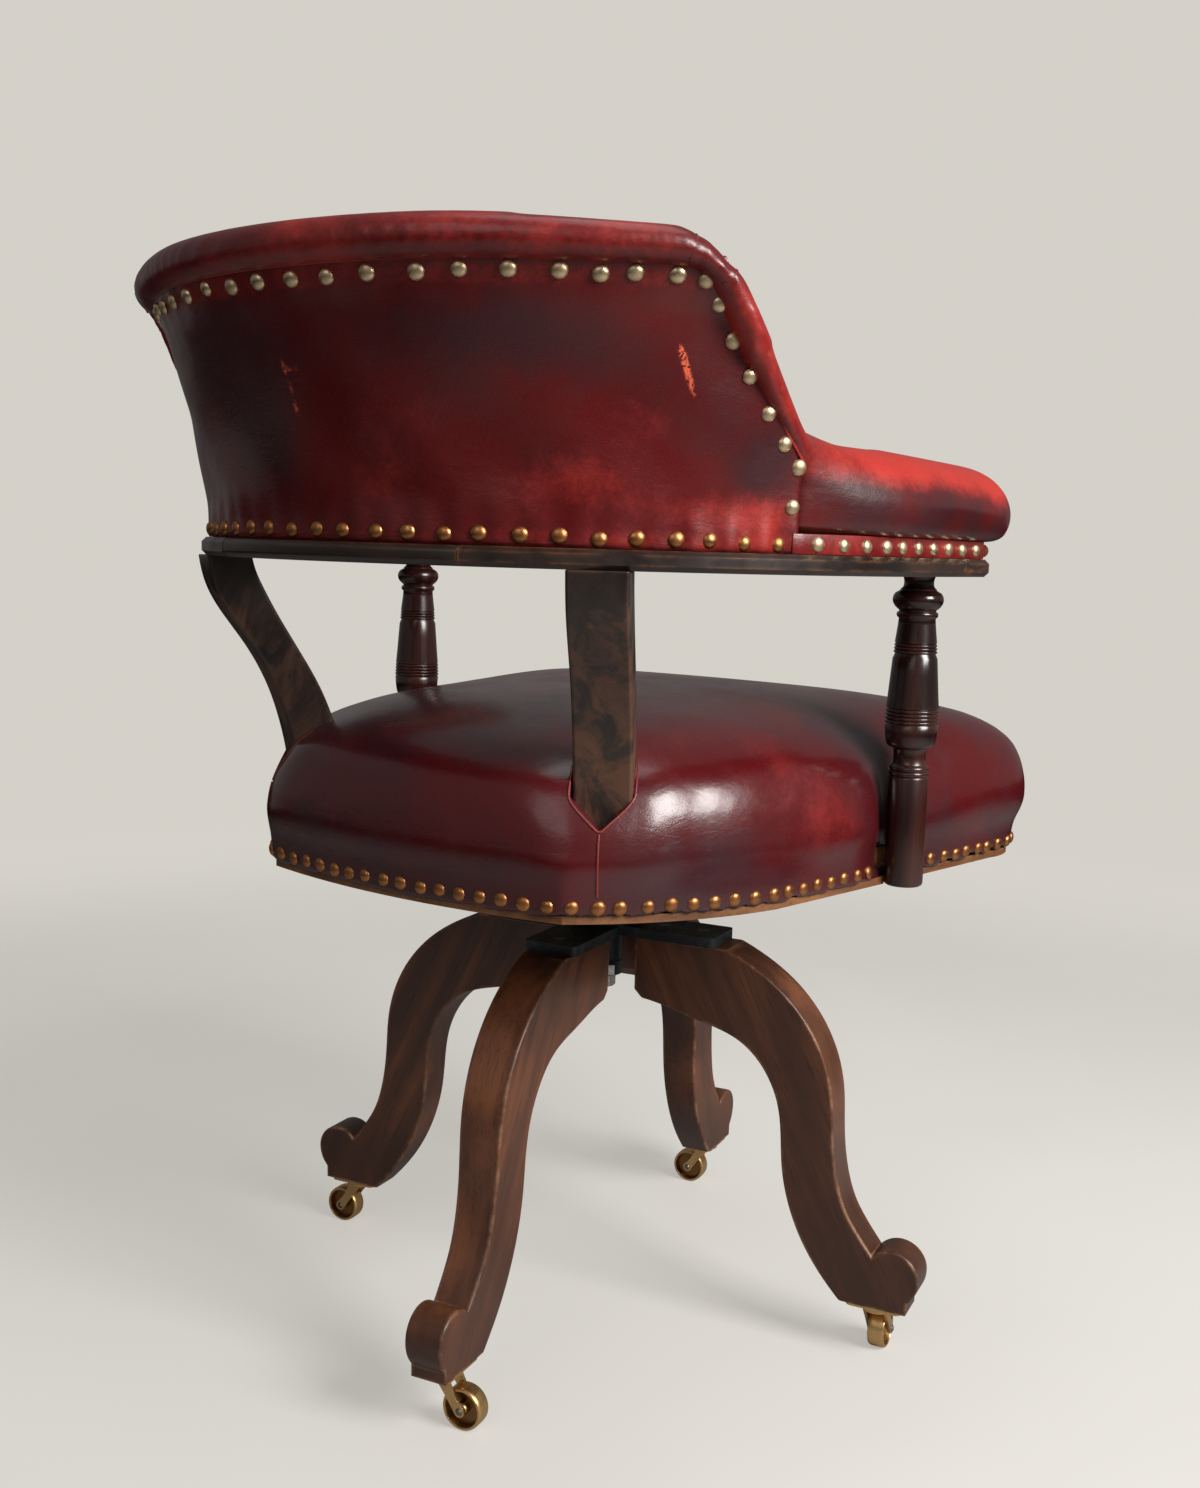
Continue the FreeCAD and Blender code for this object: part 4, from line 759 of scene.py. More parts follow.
@dataclass
class Upholstery:
    """Fills a soft solid: remeshes its copy, lets cloth swell under pressure and caps the swell."""

    shop: Workshop
    voxel: float = 0.006
    pressure: float = 4.0
    cap: float = 0.006
    frames: int = 16
    smooth: int = 6
    calm: int = 6
    melt: int = 24

    def remeshed(
        self, bm: bmesh.types.BMesh, name: str, melts: Callable[[Vector], bool] | None = None
    ) -> bpy.types.Object:
        """An even-meshed object of one or more closed solids.

        Args:
            bm: The solids; the bmesh is freed.
            name: The piece's name.
            melts: Where the skin is smoothed much further, so that one form runs into the next.

        Returns:
            The new object.
        """
        rough = linked(name + "_rough", meshed(bm, name))
        modifier = rough.modifiers.new("even_mesh", "REMESH")
        modifier.mode = "VOXEL"
        modifier.voxel_size = self.voxel
        even = evaluated_mesh(rough)
        bpy.data.objects.remove(rough)
        work = bmesh.new()
        work.from_mesh(even)
        relax(work, work.verts, self.smooth)
        if melts is not None:
            relax(work, [v for v in work.verts if melts(v.co)], self.melt)
        work.to_mesh(even)
        work.free()
        return linked(name, even)

    def swell(self, obj: bpy.types.Object, freedom: Callable[[Vector, Vector], float]) -> None:
        """Let pressure fill a piece.

        Args:
            obj: The piece, changed in place.
            freedom: How freely a point may move, from 0 to 1, by its place and its normal.
        """
        mesh = obj.data
        rest = [v.co.copy() for v in mesh.vertices]
        allow = [freedom(v.co, v.normal) for v in mesh.vertices]
        moved = self._simulate(obj)
        steps = []
        for old, new, share in zip(rest, moved, allow):
            step = new - old
            if step.length > self.cap:
                step = step * (self.cap / step.length)
            steps.append(step * share)
        for vertex, old, step in zip(mesh.vertices, rest, self._calmed(mesh, steps)):
            vertex.co = old + step
        mesh.update()

    def _calmed(self, mesh: bpy.types.Mesh, steps: list[Vector]) -> list[Vector]:
        """Even out the swelling over neighbouring points, so that no buckle is left."""
        edges = [tuple(e.vertices) for e in mesh.edges]
        for _ in range(self.calm):
            total = [step.copy() for step in steps]
            count = [1] * len(steps)
            for a, b in edges:
                total[a] += steps[b]
                total[b] += steps[a]
                count[a] += 1
                count[b] += 1
            steps = [step / n for step, n in zip(total, count)]
        return steps

    def _simulate(self, obj: bpy.types.Object) -> list[Vector]:
        """Run the cloth and return where its points end."""
        scene = bpy.context.scene
        cloth = obj.modifiers.new("stuffing", "CLOTH")
        cloth.settings.use_pressure = True
        cloth.settings.uniform_pressure_force = self.pressure
        cloth.settings.effector_weights.gravity = 0.0
        cloth.settings.quality = 4
        cloth.point_cache.frame_start = 1
        cloth.point_cache.frame_end = self.frames
        for step in range(1, self.frames + 1):
            scene.frame_set(step)
        graph = bpy.context.evaluated_depsgraph_get()
        moved = [v.co.copy() for v in obj.evaluated_get(graph).data.vertices]
        obj.modifiers.remove(cloth)
        scene.frame_set(1)
        return moved

    def dress(
        self, obj: bpy.types.Object, nodes: Sequence[str], finish: bpy.types.Material
    ) -> bpy.types.Object:
        """Subdivide and shade a finished pad, let it ride on the seat and hide the nodes it stands for."""
        for polygon in obj.data.polygons:
            polygon.use_smooth = True
        obj.data.materials.clear()
        obj.data.materials.append(finish)
        fine = obj.modifiers.new("fine_surface", "SUBSURF")
        fine.levels = 1
        fine.render_levels = 1
        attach(obj, "seat")
        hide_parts(*nodes)
        LOG.info("padded %s: %d points", obj.name, len(obj.data.vertices))
        return obj


def surface_of(obj: bpy.types.Object) -> BVHTree:
    """A search tree of a piece as it shows, to set things on its surface."""
    bpy.context.view_layer.update()
    graph = bpy.context.evaluated_depsgraph_get()
    return BVHTree.FromObject(obj, graph)


@dataclass
class Nailing:
    """Domed brass nails driven through the leather."""

    shop: Workshop
    radius: float = 0.0051
    height: float = 0.0030
    seed: int = 7

    def row(
        self, name: str, places: Sequence[tuple[Vector, Vector]], finish: bpy.types.Material
    ) -> bpy.types.Object:
        """One piece with a row of nails.

        Args:
            name: The row's name.
            places: Each nail's place on the leather and the leather's outward normal.
            finish: The brass.

        Returns:
            The row.
        """
        chance = random.Random(self.seed + len(name))
        bm = bmesh.new()
        for place, normal in places:
            lean = Vector((chance.uniform(-1, 1), chance.uniform(-1, 1), chance.uniform(-1, 1))) * 0.10
            outward = (normal + lean).normalized()
            turn = outward.to_track_quat("Z", "Y").to_matrix().to_4x4()
            size = Matrix.Diagonal((self.radius, self.radius, self.height, 1.0))
            grow = Matrix.Scale(chance.uniform(0.94, 1.05), 4)
            made = bmesh.ops.create_uvsphere(
                bm, u_segments=12, v_segments=8, radius=1.0,
                matrix=Matrix.Translation(place - outward * 0.0004) @ turn @ grow @ size,
            )
            under = [v for v in made["verts"] if (v.co - place).dot(outward) < -self.height * 0.45]
            bmesh.ops.delete(bm, geom=under, context="VERTS")
        rims = [e for e in bm.edges if len(e.link_faces) == 1]
        bmesh.ops.holes_fill(bm, edges=rims, sides=0)
        obj = self.shop.piece(bm, name, "seat", finish, sharp=70.0)
        return obj


@dataclass
class SwivelBase:
    """Four scrolled legs on an iron cross, each on a brass caster."""

    shop: Workshop
    finishes: Finishes
    edge: float = 0.0009
    iron_edge: float = 0.0008
    brass_edge: float = 0.0005
    wheel_radius: float = 0.0155
    wheel_half: float = 0.0065

    def build(self) -> None:
        """Dress the legs, ironwork and casters."""
        for index, name in enumerate(LEG_NAMES):
            self._leg(index, name)
            self._caster(index, name)
        self.shop.eased("base_cross", "base", self.finishes.iron, self.iron_edge, "black_iron")
        self.shop.keep("base_cross_screws", self.finishes.dull_steel)
        self.shop.keep("caster_plate_screws", self.finishes.dull_steel)
        self.shop.keep("thrust_washer", self.finishes.steel)

    def _leg(self, index: int, name: str) -> None:
        """One leg, its grain running down the board it was cut from."""
        back = Matrix.Rotation(math.radians(-LEG_ANGLES[index]), 3, "Z")
        tilt = Matrix.Rotation(math.radians(26.0), 3, "Y")
        shift = Vector((0.37 * index, 0.11 * index, 0.53 * index))
        leg = self.shop.eased(
            f"leg_{name}", "base", self.finishes.mahogany, self.edge, "mahogany",
            lambda p: tilt @ (back @ p) + shift,
        )
        # Darker towards the toes: painted shade under the scrolls. Lighter at the knee: a painted highlight;
        # a little wear at the toe.
        paint(leg, "smoke", lambda p: 0.7 * smooth_step(0.112, 0.070, p.z))
        paint(leg, "rub", lambda p: 0.25 * smooth_step(0.24, 0.30, p.z) + 0.2 * smooth_step(0.13, 0.05, p.z))

    def _caster(self, index: int, name: str) -> None:
        """One caster: plate, horn, axle and hollow wheel."""
        brass = self.finishes.caster_brass
        fork = f"caster_fork_{name}"
        self.shop.eased(f"caster_plate_{name}", "base", brass, self.brass_edge, "cast_brass")
        self.shop.eased(fork, fork, brass, self.brass_edge, "cast_brass")
        self.shop.keep(f"caster_axle_{name}", self.finishes.dull_steel)
        half = self.wheel_half
        rim = self.wheel_radius
        outline = [
            (0.00205, half), (0.0038, half), (0.0044, half - 0.0007), (0.0046, half - 0.0044),
            (0.0117, half - 0.0046), (0.0127, half - 0.0010), (0.0133, half), (0.0146, half - 0.0002),
            (0.0153, half - 0.0012), (rim, half - 0.0030), (rim, 0.0),
        ]
        outline += [(r, -z) for r, z in reversed(outline[:-1])]
        outline.append(outline[0])
        bm = spun(outline, 48)
        stand = math.radians(LEG_ANGLES[index])
        trail = math.radians(LEG_ANGLES[index] + CASTER_TURNS[index])
        centre = Vector((
            CASTER_REACH * math.cos(stand) + CASTER_TRAIL * math.cos(trail),
            CASTER_REACH * math.sin(stand) + CASTER_TRAIL * math.sin(trail),
            rim,
        ))
        axle = Vector((-math.sin(trail), math.cos(trail), 0.0))
        turn = axle.to_track_quat("Z", "Y").to_matrix().to_4x4()
        bmesh.ops.transform(bm, matrix=Matrix.Translation(centre) @ turn, verts=bm.verts)
        wheel = self.shop.piece(bm, f"caster_wheel_{name}_finish", f"caster_wheel_{name}", brass, sharp=40.0)
        turn_back = (Matrix.Translation(centre) @ turn).inverted()

        def hollow(point: Vector) -> float:
            local = turn_back @ point
            deep = abs(local.z) < half - 0.0009
            return 1.0 if deep and 0.0045 < math.hypot(local.x, local.y) < 0.0128 else 0.0

        paint(wheel, "smoke", hollow)
        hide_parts(f"caster_wheel_{name}")


@dataclass
class SeatWood:
    """Frame, posts, stumps, rail and the ironwork under the seat."""

    shop: Workshop
    finishes: Finishes
    edge: float = 0.0012
    iron_edge: float = 0.0006

    def build(self) -> None:
        """Dress every wooden and iron piece of the seat."""
        shop, fin = self.shop, self.finishes
        for node in ("seat_spider", "retaining_collar"):
            shop.eased(node, "seat", fin.iron, self.iron_edge, "black_iron")
        shop.keep("collar_bolt", fin.steel)
        shop.keep("swivel_spindle", fin.steel)
        shop.keep("seat_spider_screws", fin.dull_steel)
        shop.keep("post_screws", fin.dull_steel)
        for node in ("seat_frame", "batten_right", "batten_left", "arm_board_right", "arm_board_left"):
            shop.keep(node, fin.frame_wood)
        shop.keep("back_board", fin.leather)
        shop.keep("seat_webbing", fin.jute)
        self._rail()
        for side in Side:
            self._stump(side)
            self._post(side)

    def _rail(self) -> None:
        """The three pieces of the rail, each with its grain along its own board."""
        lie = Matrix.Rotation(math.radians(90.0), 3, "Y")
        self.shop.eased("rail_bow", "seat", self.finishes.ebonised, self.edge, "dark_wood", lambda p: lie @ p)
        for side in Side:
            along = Matrix.Rotation(math.radians(90.0), 3, "X") @ Matrix.Rotation(
                math.radians(18.0 * side.value), 3, "Z"
            )
            rail = self.shop.eased(
                f"arm_rail_{side.word}", "seat", self.finishes.ebonised, self.edge, "dark_wood",
                lambda p, m=along: m @ p,
            )
            paint(rail, "rub", lambda p: 0.52 * smooth_step(0.11, 0.0, p.y))

    def _stump(self, side: Side) -> None:
        """One curved stump, its finish rubbed through on its outer face."""
        lean = Matrix.Rotation(math.radians(-20.0), 3, "X") @ Matrix.Rotation(
            math.radians(STUMP_TURN * side.value), 3, "Z"
        )
        stump = self.shop.eased(
            f"stump_{side.word}", "seat", self.finishes.stump_wood, self.edge, "dark_wood", lambda p: lean @ p
        )
        paint(stump, "rub", lambda p: 0.46 * smooth_step(0.60, 0.55, p.z))

    def _post(self, side: Side) -> None:
        """One turned post, spun from its profile."""
        shape = [
            (0.0, 0.0), (11.8, 0.0), (11.2, 1.5), (10.6, 4.0), (10.7, 6.5), (11.2, 8.3), (12.4, 9.4),
            (12.9, 9.7), (12.9, 10.6), (13.6, 11.0), (16.4, 12.6), (17.8, 14.8), (18.3, 17.4), (17.7, 20.0),
            (16.2, 22.4), (14.2, 24.2), (13.2, 25.0), (13.2, 25.9), (14.4, 26.4), (14.9, 27.8), (14.7, 29.3),
            (13.6, 30.4), (13.1, 31.0), (13.5, 35.0), (14.3, 42.0), (15.1, 48.4),
        ]
        shape += self._grooves(15.2, 15.7, 49.0, 3, 2.4)
        shape += [(16.1, 60.0), (17.0, 72.0), (17.9, 84.0), (18.6, 92.0), (18.9, 95.6)]
        shape += self._grooves(19.1, 19.5, 96.2, 4, 2.7)
        shape += [
            (19.3, 108.0), (18.7, 116.0), (17.9, 121.0), (17.0, 123.2), (15.0, 124.6), (12.6, 125.2),
            (12.0, 126.4), (11.7, 131.0), (11.9, 136.5), (12.6, 137.6), (13.6, 138.2), (14.3, 139.3),
            (14.4, 140.4), (13.9, 141.3), (13.3, 141.8), (13.9, 142.3), (14.4, 143.2), (14.4, 144.4),
            (13.8, 145.3), (13.3, 145.7), (13.9, 146.3), (14.2, 147.2), (14.2, 180.0), (14.2, 224.6),
            (13.6, 226.2), (12.4, 227.0), (0.0, 227.0),
        ]
        drop = (RAIL_LOW - POST_FOOT) / shape[-1][1]
        outline = [(r * MM, RAIL_LOW - drop * d) for r, d in shape]
        bm = spun(outline, 56)
        bmesh.ops.translate(bm, vec=(side.value * POST_X, POST_Y, 0.0), verts=bm.verts)
        wood = self.finishes.post_wood
        post = self.shop.piece(bm, f"arm_post_{side.word}_finish", "seat", wood, sharp=55.0)
        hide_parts(f"arm_post_{side.word}")
        paint_grain(post, lambda p: p)

    @staticmethod
    def _grooves(
        start: float, end: float, first: float, count: int, pitch: float
    ) -> list[tuple[float, float]]:
        """Rounded beads with fine cuts between, as (radius, depth below the rail)."""
        beads = []
        for index in range(count):
            radius = start + (end - start) * index / count
            top = first + index * pitch
            beads += [
                (radius - 1.0, top), (radius - 0.1, top + 0.25 * pitch), (radius + 0.15, top + 0.5 * pitch),
                (radius - 0.1, top + 0.75 * pitch), (radius - 1.0, top + pitch),
            ]
        return beads


@dataclass
class Seat:
    """The domed leather seat, tucked round the posts and stumps and nailed to the frame's edge."""

    shop: Workshop
    finishes: Finishes
    nail_pitch: float = 0.0166
    nail_z: float = 0.3852
    cut_tip: float = 0.4345
    cut_shoulder: float = 0.4540
    cut_half: float = 0.0203
    skirt_top: float = 0.412
    skirt_foot: float = 0.383

    def build(self) -> None:
        """Make the pad, its welts and its nails."""
        pad = self._pad()
        surface = surface_of(pad)
        self._seams(surface)
        self._nails(surface)

    @staticmethod
    def _stump_axis(side: int) -> tuple[Vector, Vector, Vector]:
        """In plan: the middle of a stump's outer face, the way it looks and the way across it."""
        theta = math.radians(STUMP_TURN)
        out = Vector((math.sin(theta) * side, math.cos(theta), 0.0))
        return polar(0.2585, 40.0 * side, 0.0) - out * 0.045, out, Vector((out.y, -out.x, 0.0))

    def _near_post(self, flat: Vector) -> float:
        """Distance in plan to the nearer post's axis."""
        return min((flat - Vector((s * POST_X, POST_Y, 0.0))).length for s in (-1, 1))

    def _tucked(self, point: Vector) -> Vector:
        """Where the leather is drawn in beside the posts and stumps."""
        flat = Vector((point.x, point.y, 0.0))
        inward = (Vector((0.0, -0.03, 0.0)) - flat).normalized()
        gap = self._near_post(flat)
        wall = smooth_step(0.376, 0.388, point.z)
        depth = 0.009 * bell(gap, 0.019) + 0.005 * bell(gap, 0.040)
        lobe = smooth_step(-0.075, -0.15, point.y) * smooth_step(0.392, 0.43, point.z)
        lobe *= smooth_step(0.13, 0.20, abs(point.x))
        moved = point + inward * (depth * (0.25 + 0.75 * wall) - 0.0085 * lobe)
        bearing = abs(math.degrees(math.atan2(point.x, point.y)))
        flank = smooth_step(40.0, 50.0, bearing) * smooth_step(78.0, 62.0, bearing)
        flank *= smooth_step(0.392, 0.41, point.z) * smooth_step(0.15, 0.22, flat.length)
        moved += inward * (0.0045 * flank)
        for side in (-1, 1):
            face, out, across = self._stump_axis(side)
            off = flat - face
            beside = bell(off.dot(across), 0.034) * smooth_step(-0.07, -0.02, off.dot(out))
            moved -= out * 0.0035 * beside * smooth_step(0.425, 0.455, point.z)
        return moved

    def _freedom(self, point: Vector, normal: Vector) -> float:
        """The pad swells on its outside, but not at the frame, the posts or the stumps."""
        if point.z < self.skirt_foot or (normal.z < -0.35 and point.z < 0.41):
            return 0.0
        flat = Vector((point.x, point.y, 0.0))
        share = smooth_step(self.skirt_foot, 0.402, point.z)
        share *= smooth_step(0.016, 0.045, self._near_post(flat))
        share *= 0.40 + 0.60 * smooth_step(0.06, -0.08, point.y)
        for side in (-1, 1):
            face, out, across = self._stump_axis(side)
            gap = flat - face
            reach = math.hypot(max(abs(gap.dot(across)) - 0.0195, 0.0), max(-0.036 - gap.dot(out), 0.0))
            share *= smooth_step(0.0, 0.032, reach)
        return share

    def _pad(self) -> bpy.types.Object:
        """The stuffed pad under its leather."""
        work = Upholstery(self.shop, voxel=0.0055, pressure=5.0, cap=0.0055, frames=18, smooth=10, melt=48)
        whole = self._hull()
        wall = BVHTree.FromBMesh(whole)
        pad = work.remeshed(whole, "seat_leather_pad", lambda p: p.z > 0.420)
        self._skirt(pad, wall)
        for vertex in pad.data.vertices:
            vertex.co = self._tucked(vertex.co)
        pad.data.update()
        work.swell(pad, self._freedom)
        for side in (-1, 1):
            self._cut_window(pad, side)
        work.dress(pad, ("seat_pad",), self.finishes.seat_leather)
        self._patina(pad)
        return pad

    def _hull(self) -> bmesh.types.BMesh:
        """The solid pad without its notches for posts and stumps."""
        whole = self.shop.copy_of("seat_pad")
        skin = bmesh.ops.convex_hull(whole, input=whole.verts)
        spare = {g for g in skin["geom_interior"] + skin["geom_unused"] if isinstance(g, bmesh.types.BMVert)}
        kept = {g for g in skin["geom"] if isinstance(g, bmesh.types.BMFace)}
        bmesh.ops.delete(whole, geom=[f for f in whole.faces if f not in kept], context="FACES_ONLY")
        bmesh.ops.delete(whole, geom=list(spare), context="VERTS")
        bmesh.ops.delete(whole, geom=[e for e in whole.edges if not e.link_faces], context="EDGES")
        bmesh.ops.recalc_face_normals(whole, faces=whole.faces)
        return whole

    def _skirt(self, pad: bpy.types.Object, wall: BVHTree) -> None:
        """Draw the pad's smoothed lower edge back out to the solid's upright side.

        Args:
            pad: The remeshed pad, changed in place.
            wall: The solid's own surface.
        """
        for vertex in pad.data.vertices:
            point = vertex.co
            if point.z > self.skirt_top:
                continue
            outward = Vector((point.x, point.y, 0.0)).normalized()
            start = Vector((point.x, point.y, max(point.z, 0.3806))) + outward * 0.08
            hit, _, _, _ = wall.ray_cast(start, -outward, 0.14)
            if hit is not None and (hit - point).to_2d().length < 0.0085:
                sunk = 0.0058 * smooth_step(0.398, self.skirt_foot, point.z)
                low = Vector((hit.x, hit.y, point.z - sunk)) - outward * 0.0016
                vertex.co = point.lerp(low, smooth_step(self.skirt_top, 0.395, point.z))
            elif point.z < 0.388:
                vertex.co = Vector((point.x, point.y, 0.4016))

    @staticmethod
    def _patina(pad: bpy.types.Object) -> None:
        """Smoky, rubbed and scratched places of the seat, a painted dull sheen and shade round its lower side
        and painted light along its lit shoulder.
        """
        dark = spots((
            (-0.02, 0.20, 0.49, 0.070, 0.75), (0.12, 0.16, 0.49, 0.080, 0.45),
            (0.06, 0.10, 0.50, 0.08, 0.35), (-0.19, -0.03, 0.485, 0.055, 0.55),
            (-0.10, -0.16, 0.50, 0.09, 0.4), (0.16, 0.17, 0.42, 0.05, 0.3), (0.15, -0.15, 0.50, 0.09, 0.4),
        ))
        # Red where the leather is rubbed; the rows on the -X shoulder, at and below the highlight, are
        # painted light.
        red = spots((
            (0.05, 0.215, 0.465, 0.045, 0.34), (-0.14, 0.165, 0.470, 0.040, 0.42),
            (-0.19, 0.09, 0.455, 0.050, 0.50), (-0.222, 0.04, 0.43, 0.036, 0.52),
            (-0.23, -0.10, 0.44, 0.04, 0.25), (-0.02, 0.05, 0.505, 0.09, 0.20),
            (0.02, -0.20, 0.49, 0.10, 0.25), (0.21, -0.12, 0.46, 0.05, 0.35), (0.20, 0.10, 0.46, 0.05, 0.35),
        ))
        # The band round the lower side, greyer and a little darker, is a painted dull sheen and shade.
        paint(
            pad, "smoke",
            lambda p: 0.12 + sum(d.at(p) for d in dark) + 0.52 * smooth_step(0.445, 0.400, p.z),
        )
        paint_patches(pad, "rub", -0.12, red)
        scratch = [Patch(Vector((-0.155, 0.216, 0.445 + 0.006 * k)), 0.0022, 0.5) for k in range(5)]
        paint_patches(pad, "scuff", 0.0, scratch)

    def _cut_window(self, pad: bpy.types.Object, side: int) -> None:
        """Cut the pointed opening in front of a stump and fold its edges in.

        Args:
            pad: The seat's skin.
            side: The stump's side along X.
        """
        face, out, across = self._stump_axis(side)
        tip = face + Vector((0, 0, self.cut_tip))
        half = self.cut_half
        bm = bmesh.new()
        bm.from_mesh(pad.data)
        crease = bm.edges.layers.float.get("crease_edge") or bm.edges.layers.float.new("crease_edge")

        def near() -> list:
            close = []
            for f in bm.faces:
                middle = f.calc_center_median()
                gap = middle - face
                if abs(gap.dot(across)) < 0.045 and gap.dot(out) > -0.006 and middle.z > 0.42:
                    close.append(f)
            edges = dict.fromkeys(e for f in close for e in f.edges)
            verts = dict.fromkeys(v for f in close for v in f.verts)
            return [*close, *edges, *verts]

        for hand in (-1, 1):
            shoulder = face + across * (hand * half) + Vector((0, 0, self.cut_shoulder))
            bmesh.ops.bisect_plane(
                bm, geom=near(), dist=2e-4, plane_co=tip, plane_no=out.cross(shoulder - tip).normalized()
            )
            bmesh.ops.bisect_plane(bm, geom=near(), dist=2e-4, plane_co=shoulder, plane_no=across)
        opened = []
        for f in bm.faces:
            gap = f.calc_center_median() - face
            sideways = abs(gap.dot(across))
            line = self.cut_tip + (self.cut_shoulder - self.cut_tip) * sideways / half
            if sideways < half and gap.dot(out) > -0.004 and f.calc_center_median().z > line:
                opened.append(f)
        bmesh.ops.delete(bm, geom=opened, context="FACES")
        rim = [
            e for e in bm.edges
            if len(e.link_faces) == 1 and (e.verts[0].co - face).to_2d().length < 0.08
        ]
        for e in rim:
            e[crease] = 1.0
        folded = bmesh.ops.extrude_edge_only(bm, edges=rim)
        verts = [g for g in folded["geom"] if isinstance(g, bmesh.types.BMVert)]
        bmesh.ops.translate(bm, verts=verts, vec=-out * 0.014)
        for e in bm.edges:
            if len(e.link_faces) == 1:
                e[crease] = 1.0
        bm.to_mesh(pad.data)
        bm.free()

    def _on_side(self, surface: BVHTree, x: float, y: float, z: float) -> tuple[Vector, Vector] | None:
        """The pad's skin level with a height, seen from outside towards the middle."""
        target = Vector((x * 0.6, y * 0.6, z))
        start = target + (Vector((x, y, z)) - target) * 2.2
        inward = (target - start).normalized()
        hit, normal, _, _ = surface.ray_cast(start, inward)
        if hit is None:
            return None
        return hit - inward * 0.0002, (normal if normal.dot(inward) < -0.6 else -inward)

    def _seams(self, surface: BVHTree) -> None:
        """The seam below each stump and the folded lips of the cut round it."""
        for side in Side:
            face, out, across = self._stump_axis(side.value)

            def skin(offset: float, z: float) -> Vector:
                aim = face + across * offset
                start = Vector((aim.x, aim.y, z)) + out * 0.12
                hit, _, _, _ = surface.ray_cast(start, -out)
                return (hit if hit is not None else Vector((aim.x, aim.y, z)) + out * 0.012) + out * 0.0003

            seam = [skin(0.0, self.cut_tip - 0.001 - 0.0045 * k) for k in range(10)]
            bm = rod("seam", seam, 0.0008)
            half = self.cut_half + 0.0008
            rises = (0.001, 0.006, 0.012, 0.020)
            deep = self.cut_shoulder - self.cut_tip
            lip = [skin(-half, self.cut_shoulder + rise) for rise in reversed(rises)]
            lip += [skin(half * k / 4, self.cut_tip - 0.0008 + deep * abs(k) / 4) for k in range(-3, 4)]
            lip += [skin(half, self.cut_shoulder + rise) for rise in rises]
            self.shop.join(bm, rod("lip", lip, 0.0008))
            # The welt leather's lighter tone is a painted highlight on the lips and the seam.
            piece = self.shop.piece(bm, f"stump_seam_{side.word}", "seat", self.finishes.welt, sharp=60.0)

    def _nails(self, surface: BVHTree) -> None:
        """Nails all round the seat, a little uneven, left out behind the posts."""
        chance = random.Random(11)
        ring = []
        for step in range(720):
            theta = math.radians(step / 2.0)
            found = self._on_side(surface, 0.33 * math.sin(theta), 0.33 * math.cos(theta), self.nail_z)
            if found:
                ring.append(found)
        paces = [(after[0] - before[0]).length for before, after in zip(ring, ring[1:] + ring[:1])]
        count = round(sum(paces) / self.nail_pitch)
        marks = [sum(paces) * (k + 0.5 + chance.uniform(-0.06, 0.06)) / count for k in range(count)]
        places, travelled = [], 0.0
        for found, pace in zip(ring, paces):
            travelled += pace
            if not marks or travelled < marks[0]:
                continue
            marks.pop(0)
            place = found[0] + Vector((0.0, 0.0, chance.uniform(-0.0006, 0.0006)))
            if all((Vector((s * POST_X, POST_Y)) - place.xy).length > 0.026 for s in (-1, 1)):
                places.append((place, found[1]))
        nailing = Nailing(self.shop, radius=0.0050, height=0.0026)
        nailing.row("seat_nails", places, self.finishes.gold_brass)


